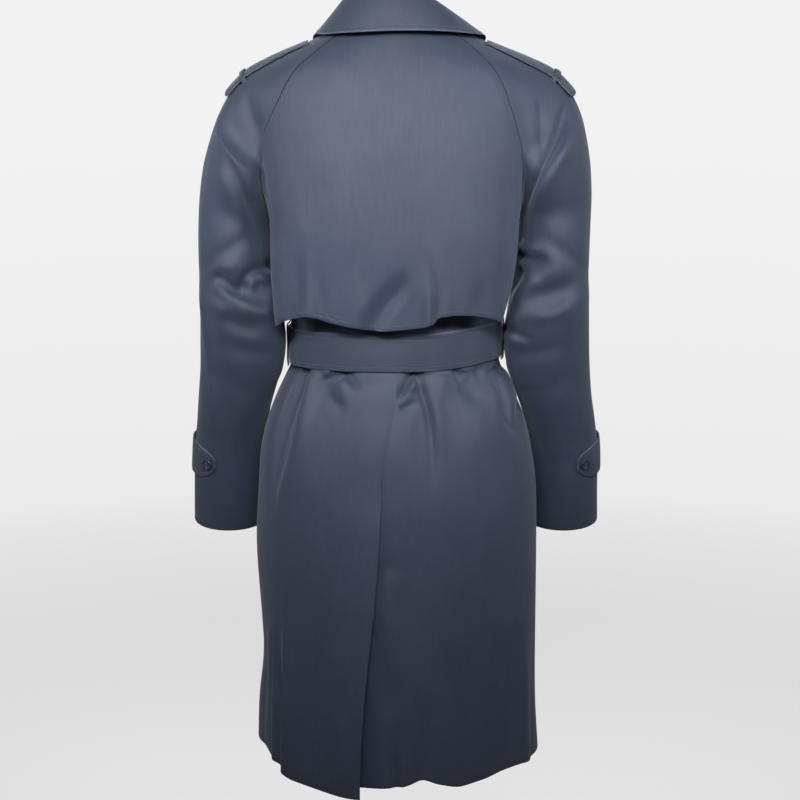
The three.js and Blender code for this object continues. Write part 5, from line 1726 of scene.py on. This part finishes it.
@dataclass
class Collar:
    """The collar: a stand on the neck seam and a fall turned down over it."""

    body: BodyForm
    forms: dict[Side, SleeveForm]
    columns: int = 150
    back_end: float = 42.0  # turn at which the back's neck edge ends and the sleeve's begins
    ridge: float = 90.0
    sleeve_end: float = 122.0
    end: float = 150.0

    def neck(self, turn: Array) -> Array:
        """Neck edge of the coat under the stand.

        Args:
            turn: Angles round the neck, 0 behind.

        Returns:
            The points.
        """
        sign, t = np.where(turn >= 0, 1, -1), np.abs(turn)
        seam = float(self.body.turn_at(0.0, 52.0))
        behind = sign * seam * np.minimum(t, self.back_end) / self.back_end
        out = self.body.point(np.zeros(len(turn)), behind)
        for side in Side:
            mine = sign == side.value
            back = mine & (t >= self.back_end) & (t < self.ridge)
            share = (t[back] - self.back_end) / (self.ridge - self.back_end)
            out[back] = self.forms[side].point(0.0, share, True)
            front = mine & (t >= self.ridge) & (t < self.sleeve_end)
            share = (t[front] - self.ridge) / (self.sleeve_end - self.ridge)
            out[front] = self.forms[side].point(0.0, 1 - share, False)
            low = mine & (t >= self.sleeve_end)
            share = (t[low] - self.sleeve_end) / (self.end - self.sleeve_end)
            z = NECK_FRONT + (GORGE_Z - NECK_FRONT) * share
            out[low] = self.body.front_point(side, self.body.front_edge(z), z, 0.0)
        out[:, 2] += SEAM + 0.3 + 1.1 * smooth(60, 96, t) + 0.8 * smooth(105, 120, t)
        return out

    def line(self, name: str, turn: Array) -> Array:
        """A line of the collar, the roll or the edge, round the neck."""
        return np.stack([COLLAR.read(f"{name}_{axis}", turn) for axis in "xyz"], -1)

    def build(self, looks: Looks) -> None:
        """Make the stand, the fall and its stitching.

        Args:
            looks: The coat's finishes.
        """
        turn = np.linspace(-self.end, self.end, self.columns + 1)
        roll, edge = self.line("roll", turn), self.line("edge", turn)
        t = np.linspace(0, 1, 16)[:, None, None]
        points = self.neck(turn)[None] * (1 - t) + roll[None] * t
        stand = ClothPiece("collar_stand_cloth", points, axis_core(points), CLOTH, (), (Edge.TOP,))
        stand.build(looks.cloth, "collar_stand")
        out = unit(roll * np.array([1, 1, 0]))
        t = steps(0.0, (0.12, 9), (1, 35))[:, None, None]
        start = roll + out * (SEAM + CLOTH) + np.array([0, 0, 0.6])
        bow = 1.8 + 3.4 * smooth(75, 20, np.abs(turn))[None, :, None]
        points = start * (1 - t) + edge * t + out * bow * np.sin(math.pi * t ** 0.6)
        fall = ClothPiece("collar_fall_cloth", points, axis_core(points), CLOTH, FREE_EDGES, FREE_EDGES,
                          Held.FOLDED)
        rows = {Edge.BOTTOM: (STITCH_INSET, STITCH_INSET), Edge.START: (STITCH_START, STITCH_INSET),
                Edge.END: (STITCH_START, STITCH_INSET)}
        fall.build(looks.cloth, "collar_fall", fall.stitch("collar_stitching", rows, looks.thread))


@dataclass
class ShoulderStraps:
    """Epaulettes sewn in near the neck, each through a keeper loop, standing off at its rounded end."""

    forms: dict[Side, SleeveForm]
    keeper_half: float = 32.0
    keeper_at: tuple[float, float] = (0.452, 0.476)
    keeper_seat: float = 0.75
    keeper_rise: float = 7.0
    behind: float = 24.0

    def strap(self, side: Side) -> Array:
        """An epaulette, from the neck end out.

        Args:
            side: Which one.

        Returns:
            Its outer points.
        """
        s = steps(0.165, (0.56, 59), (0.592, 13))[:, None]
        across = np.linspace(-1, 1, 33)[None, :] * EPAULETTE.read("half", s) + self.behind
        reach = CAP.read("ridge_reach", s * CAP_END)
        return self.forms[side].over_ridge(s, across, reach, EPAULETTE.read("lift", s) + CLOTH)

    def keeper(self, side: Side) -> Array:
        """The loop over an epaulette.

        Args:
            side: Which one.

        Returns:
            Its outer points.
        """
        half = np.array([0, 0.2, 0.4, 0.6, 0.8, 0.85, 0.9, 0.95, 1])
        shares = np.concatenate([-half[:0:-1], half])[:, None]
        lift = self.keeper_seat + self.keeper_rise * smooth(0.95, 0.84, np.abs(shares))
        s = np.linspace(*self.keeper_at, 9)[None, :]
        reach = float(CAP.read("ridge_reach", 0.47 * CAP_END))
        return self.forms[side].over_ridge(s, shares * self.keeper_half + self.behind, reach, lift)

    def build(self, looks: Looks) -> None:
        """Make both epaulettes with their loops and stitching.

        Args:
            looks: The coat's finishes.
        """
        for side in Side:
            form = self.forms[side]
            points = self.strap(side)
            strap = ClothPiece(f"epaulette_{side.word}_cloth", points, form.core(points), CLOTH,
                               FREE_EDGES, FREE_EDGES, Held.LAID)
            rows = {Edge.START: (2, STITCH_INSET), Edge.END: (2, STITCH_INSET),
                    Edge.BOTTOM: (STITCH_START, STITCH_START)}
            stitches = strap.stitch(f"epaulette_{side.word}_stitching", rows, looks.thread)
            strap.build(looks.cloth, f"epaulette_{side.word}", stitches)
            points = self.keeper(side)
            keeper = ClothPiece(f"epaulette_loop_{side.word}_cloth", points, form.core(points), CLOTH,
                                SIDE_EDGES, held=Held.LAID)
            keeper.build(looks.cloth, f"epaulette_loop_{side.word}")


@dataclass
class CuffTabs:
    """Tabs round the cuffs, from the underarm seam over the front to a rounded buttoned end behind."""

    forms: dict[Side, SleeveForm]
    half: float = 22.0
    lift: float = 0.5 + CLOTH
    ease: float = 2.2  # extra lift where it bends over the arm's ridge
    shape: Table = field(default_factory=lambda: Table("q share", [
        (0.12, 1), (0.8, 1.02), (1.0, 1.2), (1.12, 1.2), (1.2, 1.13), (1.27, 0.98), (1.32, 0.8), (1.36, 0.56),
        (1.385, 0.3)]))

    def point(self, side: Side, q: Array, rise: Array, lift: Array) -> Array:
        """Points round a cuff.

        Args:
            side: Which sleeve.
            q: Shares of the way from the underarm seam (0) over the ridge (1) to behind.
            rise: Distances up the arm from the tab's middle.
            lift: Distance outside the sleeve.

        Returns:
            The points.
        """
        s = 2 - (CUFF_TAB_RISE - rise) / ARM_LENGTH
        form = self.forms[side]
        rear = form.point(s, np.where(q > 1, 2 - q, 1), True, lift)
        front = form.point(s, np.minimum(q, 1), False, lift)
        return np.where((q > 1)[..., None], rear, front)

    def build(self, looks: Looks) -> None:
        """Make both tabs and their stitching.

        Args:
            looks: The coat's finishes.
        """
        q = steps(0.125, (1.2, 59), (1.385, 21))[:, None]
        lift = self.lift + self.ease * np.exp(-(((q - 0.98) / 0.1) ** 2))
        u = np.linspace(-1, 1, 25)[None, :]
        rows = {Edge.START: (2, STITCH_INSET), Edge.END: (2, STITCH_INSET)}
        for side in Side:
            rise = u * self.half * self.shape.read("share", q)
            points = self.point(side, q * np.ones(u.shape), rise, lift)
            tab = ClothPiece(f"cuff_tab_{side.word}_cloth", points, self.forms[side].core(points), CLOTH,
                             FREE_EDGES, FREE_EDGES, Held.LAID)
            stitches = tab.stitch(f"cuff_tab_{side.word}_stitching", rows, looks.thread)
            tab.build(looks.cloth, f"cuff_tab_{side.word}", stitches)


@dataclass
class Belt:
    """The stiffened belt, its loops at the side seams and its buckle."""

    body: BodyForm
    tip_turn: float = 240.0
    tip_turns: float = 18.0
    tip_taper: float = 8.0
    crown: float = 0.7
    loop_half_turn: float = 6.0 / 105
    half_width: float = 31.0
    half_height: float = 33.0
    bar: float = 6.5
    thick: float = 3.0
    corner: float = 5.0
    squareness: float = 0.7

    def band(self) -> Array:
        """The belt, from under the buckle round to its free end.

        Returns:
            Its outer points.
        """
        turn = steps(-178.2, (165, 329), (195, 59), (self.tip_turn, 59))
        u = steps(0.0, (0.02, 1), (0.05, 1), (0.95, 14), (0.98, 1), (1, 1))[None, :]
        ripple = 0.5 * np.sin(turn / 9.0) + 0.35 * np.sin(turn / 3.7 + 1)
        crown = self.crown * (1 - (2 * u - 1) ** 2)
        from_buckle = np.abs(np.abs(turn) - 180)
        lift = BELT_STOPS.read("lift", turn)[:, None] + crown * smooth(0, 30, from_buckle)[:, None]
        edge_play = (2 * u - 1) * ripple[:, None] * smooth(25, 50, from_buckle)[:, None]
        angle = np.radians(turn)[:, None] * np.ones(u.shape)
        points = self.body.point(np.full(lift.shape, BELT_TOP), angle, lift + edge_play)
        tip = np.clip((turn - self.tip_turn + self.tip_turns) / self.tip_turns, 0, 1) * self.tip_taper
        half = (BELT_WIDTH / 2 - tip)[:, None]
        wrapped = np.radians(np.where(turn > 180, turn - 360, turn))
        rise = self.body.belt_rise(wrapped) * (1 - smooth(-2.4, -3.05, wrapped))
        points[..., 2] += half * (1 - 2 * u) + rise[:, None] - BELT_WIDTH / 2
        return points

    def loop(self, side: Side) -> Array:
        """A belt loop, from top to bottom.

        Args:
            side: Which one.

        Returns:
            Its outer points.
        """
        middle = BELT_MIDDLE + (BELT_RISE if side is Side.RIGHT else 0)
        rows = Table("z lift", [(37, 2.3), (31, 2.3), (27, 5.9), (0, 5.9), (-27, 5.9), (-32, 3.6)])
        drop = np.linspace(37, -32, 56)[:, None]
        turn = side.value * math.pi / 2 + np.linspace(-1, 1, 9)[None, :] * self.loop_half_turn
        lift = rows.read("lift", drop)
        near = self.body.point(np.full(drop.shape, BELT_TOP), turn, lift)
        low = self.body.point(middle + drop, turn, lift)
        on_belt = smooth(32, 28, np.abs(drop))[..., None]
        points = near * on_belt + low * (1 - on_belt)
        points[..., 2] = middle + drop
        return points

    def ring(self) -> tuple[Array, list[tuple[int, ...]]]:
        """The buckle frame, a rounded bar bent to a rectangle.

        Returns:
            Its points and faces.
        """
        half = np.array([self.half_width, self.half_height]) - self.bar / 2
        path, outs = [], []
        for k, corner in enumerate(np.array([(1, 1), (-1, 1), (-1, -1), (1, -1)])):
            for a in np.linspace(0, math.pi / 2, 7) + k * math.pi / 2:
                ray = np.array([math.cos(a), math.sin(a)])
                path.append(half * corner - self.corner * corner + self.corner * ray)
                outs.append(ray)
        path, outs = np.array(path), np.array(outs)
        around = np.linspace(0, 2 * math.pi, 15)[:-1]
        across = np.sign(np.cos(around)) * np.abs(np.cos(around)) ** self.squareness * self.bar / 2
        depth = np.sign(np.sin(around)) * np.abs(np.sin(around)) ** self.squareness * self.thick / 2
        flat = path[:, None] + outs[:, None] * across[None, :, None]
        y = np.broadcast_to(BUCKLE_Y - self.thick / 2 - depth, flat.shape[:2])
        verts = np.stack([flat[..., 0], y, flat[..., 1] + BELT_MIDDLE], -1)
        return verts.reshape(-1, 3), tube(*flat.shape[:2], closed=True)

    def rod(self, line: list[tuple[float, float, float]], half_tall: float,
            half_deep: float) -> tuple[Array, list[tuple[int, ...]]]:
        """A rounded rod with closed ends.

        Args:
            line: Points of its middle line.
            half_tall: Half its height.
            half_deep: Half its depth.

        Returns:
            Its points and faces.
        """
        spine = np.array(line, float)
        around = np.linspace(0, 2 * math.pi, 13)[:-1]
        rows = []
        tangent = unit(np.gradient(spine, axis=0))
        upright = np.abs(tangent[:, 2]).mean() > 0.7
        side = np.array([1.0, 0, 0]) if upright else np.array([0, 0, 1.0])
        ends = np.concatenate([[0.05, 0.7], np.ones(len(spine)), [0.7, 0.05]])
        spots = np.concatenate([spine[:1] - tangent[:1] * 0.9, spine[:1] - tangent[:1] * 0.6, spine,
                                spine[-1:] + tangent[-1:] * 0.6, spine[-1:] + tangent[-1:] * 0.9])
        for spot, size in zip(spots, ends):
            rows.append(spot + np.cos(around)[:, None] * side * half_tall * size
                        + np.sin(around)[:, None] * np.array([0, 1.0, 0]) * half_deep * size)
        m, n = len(rows), len(around)
        faces = tube(m, n) + [tuple(range(n - 1, -1, -1)), tuple((m - 1) * n + j for j in range(n))]
        return np.array(rows).reshape(-1, 3), faces

    def hard_piece(self, node: str, shape: tuple[Array, list[tuple[int, ...]]], looks: Looks) -> None:
        """Make one moulded piece of the buckle.

        Args:
            node: CAD node that it stands for.
            shape: Its points and faces.
            looks: The coat's finishes.
        """
        verts, faces = shape
        obj = new_mesh(node + "_shaped", verts, faces)
        fix_normals(obj)
        obj.data.materials.append(looks.buckle.material())
        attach(obj, "root")
        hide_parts(node)
        log.info("%s: %d faces", node, len(faces))

    def build(self, looks: Looks) -> None:
        """Make the belt, its loops, its stitching and its buckle.

        Args:
            looks: The coat's finishes.
        """
        points = self.band()
        band = ClothPiece("belt_cloth", points, axis_core(points), BELT_CLOTH, FREE_EDGES, SIDE_EDGES,
                          Held.LAID, Slot.BELT)
        rows = {edge: (STITCH_START, STITCH_START) for edge in SIDE_EDGES}
        band.build(looks.belt, "belt", band.stitch("belt_stitching", rows, looks.thread))
        for side in Side:
            points = self.loop(side)
            loop = ClothPiece(f"belt_loop_{side.word}_cloth", points, axis_core(points), CLOTH, SIDE_EDGES,
                              held=Held.LAID)
            loop.build(looks.cloth, f"belt_loop_{side.word}")
        self.hard_piece("buckle_frame", self.ring(), looks)
        inside = self.half_height - self.bar - SEAM
        bar = [(0, BUCKLE_Y - self.thick / 2, BELT_MIDDLE + z) for z in np.linspace(-inside, inside, 12)]
        self.hard_piece("buckle_bar", self.rod(bar, 2.4, 1.4), looks)
        way = Table("x y", [(-29, -4.4), (-21, -5.2), (-10, -8), (3, -8.8)])
        prong = [(x, BUCKLE_Y + float(way.read("y", x)), BELT_MIDDLE) for x in np.linspace(3, -29, 18)]
        self.hard_piece("buckle_prong", self.rod(prong, 1.9, 1.0), looks)


@dataclass
class Buttons:
    """Four-hole buttons with a raised rim and their thread: eight on the front and one on each cuff."""

    body: BodyForm
    forms: dict[Side, SleeveForm]
    front_radius: float = 11.0
    front_thick: float = 4.2
    cuff_radius: float = 7.6
    cuff_thick: float = 3.4
    cuff_at: float = 0.69  # share of the arc behind the arm, seam 0 and ridge 1
    segments: int = 40
    hole: float = 0.115  # shares of the radius: size of a hole, its place and the thread
    hole_at: float = 0.24
    thread: float = 0.055
    dish: float = 0.64  # height of the middle, as a share of the rim's
    crisp_angle: float = 35.0

    def blank(self, radius: float, thick: float) -> bpy.types.Object:
        """A button about +Z without holes.

        Args:
            radius: Outer radius.
            thick: Height of the rim.

        Returns:
            The object.
        """
        profile = [(0, 0), (radius * 0.9, 0), (radius * 0.98, thick * 0.14), (radius, thick * 0.4),
                   (radius * 0.985, thick * 0.8), (radius * 0.93, thick * 0.96), (radius * 0.86, thick),
                   (radius * 0.78, thick * 0.95), (radius * 0.7, thick * 0.76), (radius * 0.58, thick * 0.66),
                   (0, thick * self.dish)]
        angle = np.linspace(0, 2 * math.pi, self.segments + 1)[:-1]
        verts, faces = [(0, 0, 0)], []
        for r, z in profile[1:-1]:
            verts += [(r * math.cos(a), r * math.sin(a), z) for a in angle]
        verts.append((0, 0, profile[-1][1]))
        n, rows = self.segments, len(profile) - 2
        for k in range(n):
            nxt = (k + 1) % n
            faces.append((0, 1 + nxt, 1 + k))
            for i in range(rows - 1):
                a, b = 1 + i * n, 1 + (i + 1) * n
                faces.append((a + k, a + nxt, b + nxt, b + k))
            faces.append((1 + (rows - 1) * n + k, 1 + (rows - 1) * n + nxt, len(verts) - 1))
        blank = new_mesh("button_blank", np.array(verts), faces)
        fix_normals(blank)
        return blank

    def cutter(self, radius: float, thick: float) -> bpy.types.Object:
        """Four pegs in the places of the holes.

        Args:
            radius: Outer radius of the button.
            thick: Height of its rim.

        Returns:
            The object.
        """
        hole, gap, sides = radius * self.hole, radius * self.hole_at, 14
        verts, faces = [], []
        for sx, sy in ((1, 1), (-1, 1), (-1, -1), (1, -1)):
            base = len(verts)
            for z in (-1.0, thick + 1.0):
                verts += [(sx * gap + hole * math.cos(a), sy * gap + hole * math.sin(a), z)
                          for a in np.linspace(0, 2 * math.pi, sides + 1)[:-1]]
            faces += tube(2, sides, base)
            faces.append(tuple(base + k for k in range(sides - 1, -1, -1)))
            faces.append(tuple(base + sides + k for k in range(sides)))
        cutter = new_mesh("button_cutter", np.array(verts), faces)
        fix_normals(cutter)
        return cutter

    def solid(self, radius: float, thick: float) -> bpy.types.Mesh:
        """A button about +Z with its holes cut.

        Args:
            radius: Outer radius.
            thick: Height of the rim.

        Returns:
            The mesh, in metres.
        """
        blank, cutter = self.blank(radius, thick), self.cutter(radius, thick)
        cut = blank.modifiers.new("holes", "BOOLEAN")
        cut.object, cut.operation, cut.solver = cutter, "DIFFERENCE", "EXACT"
        shaped = bpy.data.meshes.new_from_object(blank.evaluated_get(bpy.context.evaluated_depsgraph_get()))
        shaped.set_sharp_from_angle(angle=math.radians(self.crisp_angle))
        for spare in (blank, cutter):
            bpy.data.objects.remove(spare)
        return shaped

    def strands(self, radius: float, thick: float) -> tuple[Array, list[tuple[int, ...]]]:
        """Four strands of thread over the middle of a button about +Z.

        Args:
            radius: Outer radius of the button.
            thick: Height of its rim.

        Returns:
            Points and faces.
        """
        gap, fat, sides = radius * self.hole_at, radius * self.thread, 6
        spine = [(-gap, -1.2), (-gap * 0.9, 0.35), (-gap * 0.4, 0.6), (gap * 0.4, 0.6), (gap * 0.9, 0.35),
                 (gap, -1.2)]
        verts, faces = [], []
        for sy, shift in ((1, -0.5), (1, 0.5), (-1, -0.5), (-1, 0.5)):
            faces += tube(len(spine), sides, len(verts))
            for px, pz in spine:
                for a in np.linspace(0, 2 * math.pi, sides + 1)[:-1]:
                    verts.append((px + math.cos(a) * fat * 0.4,
                                  sy * gap + shift * fat * 1.7 + math.cos(a) * fat,
                                  thick * self.dish + pz * fat * 1.4 + math.sin(a) * fat))
        return np.array(verts), faces

    def sew(self, node: str, mesh: bpy.types.Mesh, size: tuple[float, float], seat: Array, facing: Array,
            looks: Looks) -> None:
        """Set a button on its seat with its thread.

        Args:
            node: CAD node it stands for.
            mesh: The shaped button.
            size: Radius and thickness.
            seat: Middle of its underside.
            facing: Outward direction.
            looks: The coat's finishes.
        """
        name = node + "_shaped"
        z = unit(np.asarray(facing, float))
        x = unit(np.cross(np.array([0, 0, 1.0]), z))
        y = np.cross(z, x)
        place = Matrix((*[(x[k], y[k], z[k], seat[k] * MM) for k in range(3)], (0, 0, 0, 1)))
        own = mesh.copy()
        own.transform(place)
        own.materials.clear()
        own.materials.append(looks.button.material())
        obj = bpy.data.objects.new(name, own)
        bpy.context.scene.collection.objects.link(obj)
        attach(obj, "root")
        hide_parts(node)
        verts, faces = self.strands(*size)
        thread = new_mesh(name + "_thread", seat + verts @ np.stack([x, y, z]), faces)
        thread.data.materials.append(looks.thread.material())
        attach(thread, "root")
        log.info("%s: %d faces", name, len(own.polygons))

    def build(self, looks: Looks) -> None:
        """Make all buttons.

        Args:
            looks: The coat's finishes.
        """
        front_size, cuff_size = (self.front_radius, self.front_thick), (self.cuff_radius, self.cuff_thick)
        front, cuff = self.solid(*front_size), self.solid(*cuff_size)
        for row, height in enumerate(FRONT_BUTTON_HEIGHTS):
            for column, sign in enumerate((1, -1)):
                turn = float(self.body.turn_at(height, sign * FRONT_BUTTON_X, True))
                seat = self.body.point(height, turn, LAP_LIFT + 2 * SEAM)
                rise = self.body.point(height + 8, turn) - self.body.point(height - 8, turn)
                across = self.body.point(height, turn + 0.02) - self.body.point(height, turn - 0.02)
                facing = np.cross(rise, across)
                facing = -facing if facing[1] > 0 else facing
                self.sew(f"front_button_{row * 2 + column + 1}", front, front_size, seat, facing, looks)
        level = 2 - CUFF_TAB_RISE / ARM_LENGTH
        for side in Side:
            seat = self.forms[side].point(level, self.cuff_at, True, 0.6 + CLOTH + SEAM)
            outer = self.forms[side].point(level, self.cuff_at, True, 10)
            self.sew(f"cuff_button_{side.word}", cuff, cuff_size, seat, outer - seat, looks)


@dataclass
class Studio:
    """Plain pale studio: paper floor, pale room, soft light from high behind and the camera."""

    floor: float = -1.47
    camera_at: tuple[float, float, float] = (-0.003, 2.152, -0.1135)
    pitch: float = 10.98
    view_angle: float = 29.0
    rings: tuple[float, ...] = (0.8, 1.6, 3.4)
    segments: int = 96

    def camera(self) -> None:
        """Set the camera at the height of the shoulder blades, looking a little down."""
        data = bpy.data.cameras.new("studio_camera")
        data.angle = math.radians(self.view_angle)
        data.clip_start, data.clip_end = 0.05, 200
        camera = bpy.data.objects.new("studio_camera", data)
        camera.location = self.camera_at
        camera.rotation_euler = (math.radians(90 - self.pitch), 0, math.radians(180))
        bpy.context.scene.collection.objects.link(camera)
        bpy.context.scene.camera = camera

    def paper(self) -> None:
        """Lay the floor."""
        count = self.segments
        angle = np.linspace(0, 2 * math.pi, count + 1)[:-1]
        rings = [(r * math.cos(a), r * math.sin(a), 0) for r in self.rings for a in angle]
        verts = np.array([(0, 0, 0), *rings]) / MM
        faces: list[tuple[int, ...]] = [(0, 1 + k, 1 + (k + 1) % count) for k in range(count)]
        faces += [face[::-1] for face in tube(len(self.rings), count, 1)]
        floor = new_mesh("paper_floor", verts, faces)
        floor.location.z = self.floor
        floor.data.materials.append(StageFinish().material())
        floor.visible_diffuse = floor.visible_glossy = False

    def lamp(self, name: str, at: tuple[float, float, float], aim: tuple[float, float, float],
             size: tuple[float, float], power: float, spread: float = 180.0) -> None:
        """Hang one soft lamp.

        Args:
            name: Its name.
            at: Its place, in metres.
            aim: What it points at.
            size: Width and height of its face.
            power: Watts.
            spread: Angle that its grid lets through.
        """
        data = bpy.data.lights.new(name, "AREA")
        data.shape, data.energy, data.spread = "RECTANGLE", power, math.radians(spread)
        data.size, data.size_y = size
        lamp = bpy.data.objects.new(name, data)
        lamp.location = at
        lamp.rotation_euler = (Vector(aim) - Vector(at)).to_track_quat("-Z", "Y").to_euler()
        lamp.visible_camera = False
        bpy.context.scene.collection.objects.link(lamp)

    def build(self) -> None:
        """Make the studio."""
        self.camera()
        self.paper()
        bpy.context.scene.world = RoomFinish().world()
        bpy.context.scene.view_settings.view_transform = "Standard"
        self.lamp("high_softbox", (0.05, 1.15, 0.24), (0, 0.1, -0.25), (1.0, 0.22), 7.2, 82)
        self.lamp("wide_fill", (0.0, 2.6, 0.5), (0, 0, -0.4), (1.6, 1.6), 2.4)
        for side in Side:
            at, aim = (side.value * 1.3, 0.75, 0.25), (side.value * 0.15, 0.05, -0.25)
            self.lamp(f"{side.word}_softbox", at, aim, (0.5, 0.5), 2.6, 84)
        self.lamp("front_softbox", (0.25, -1.8, -0.15), (0, 0, -0.45), (0.9, 0.9), 12, 120)


def main() -> None:
    """Build the coat piece by piece, then the studio."""
    logging.basicConfig(level=logging.INFO, format="%(message)s")
    body = BodyForm()
    forms = {side: SleeveForm(body, side) for side in Side}
    looks = Looks()
    for part in (BackPanels(body), Fronts(body), Sleeves(forms), StormFlap(body), Collar(body, forms),
                 ShoulderStraps(forms), CuffTabs(forms), Belt(body), Buttons(body, forms)):
        part.build(looks)
        log.info("%s done", type(part).__name__)
    Studio().build()


if __name__ == "__main__":
    main()
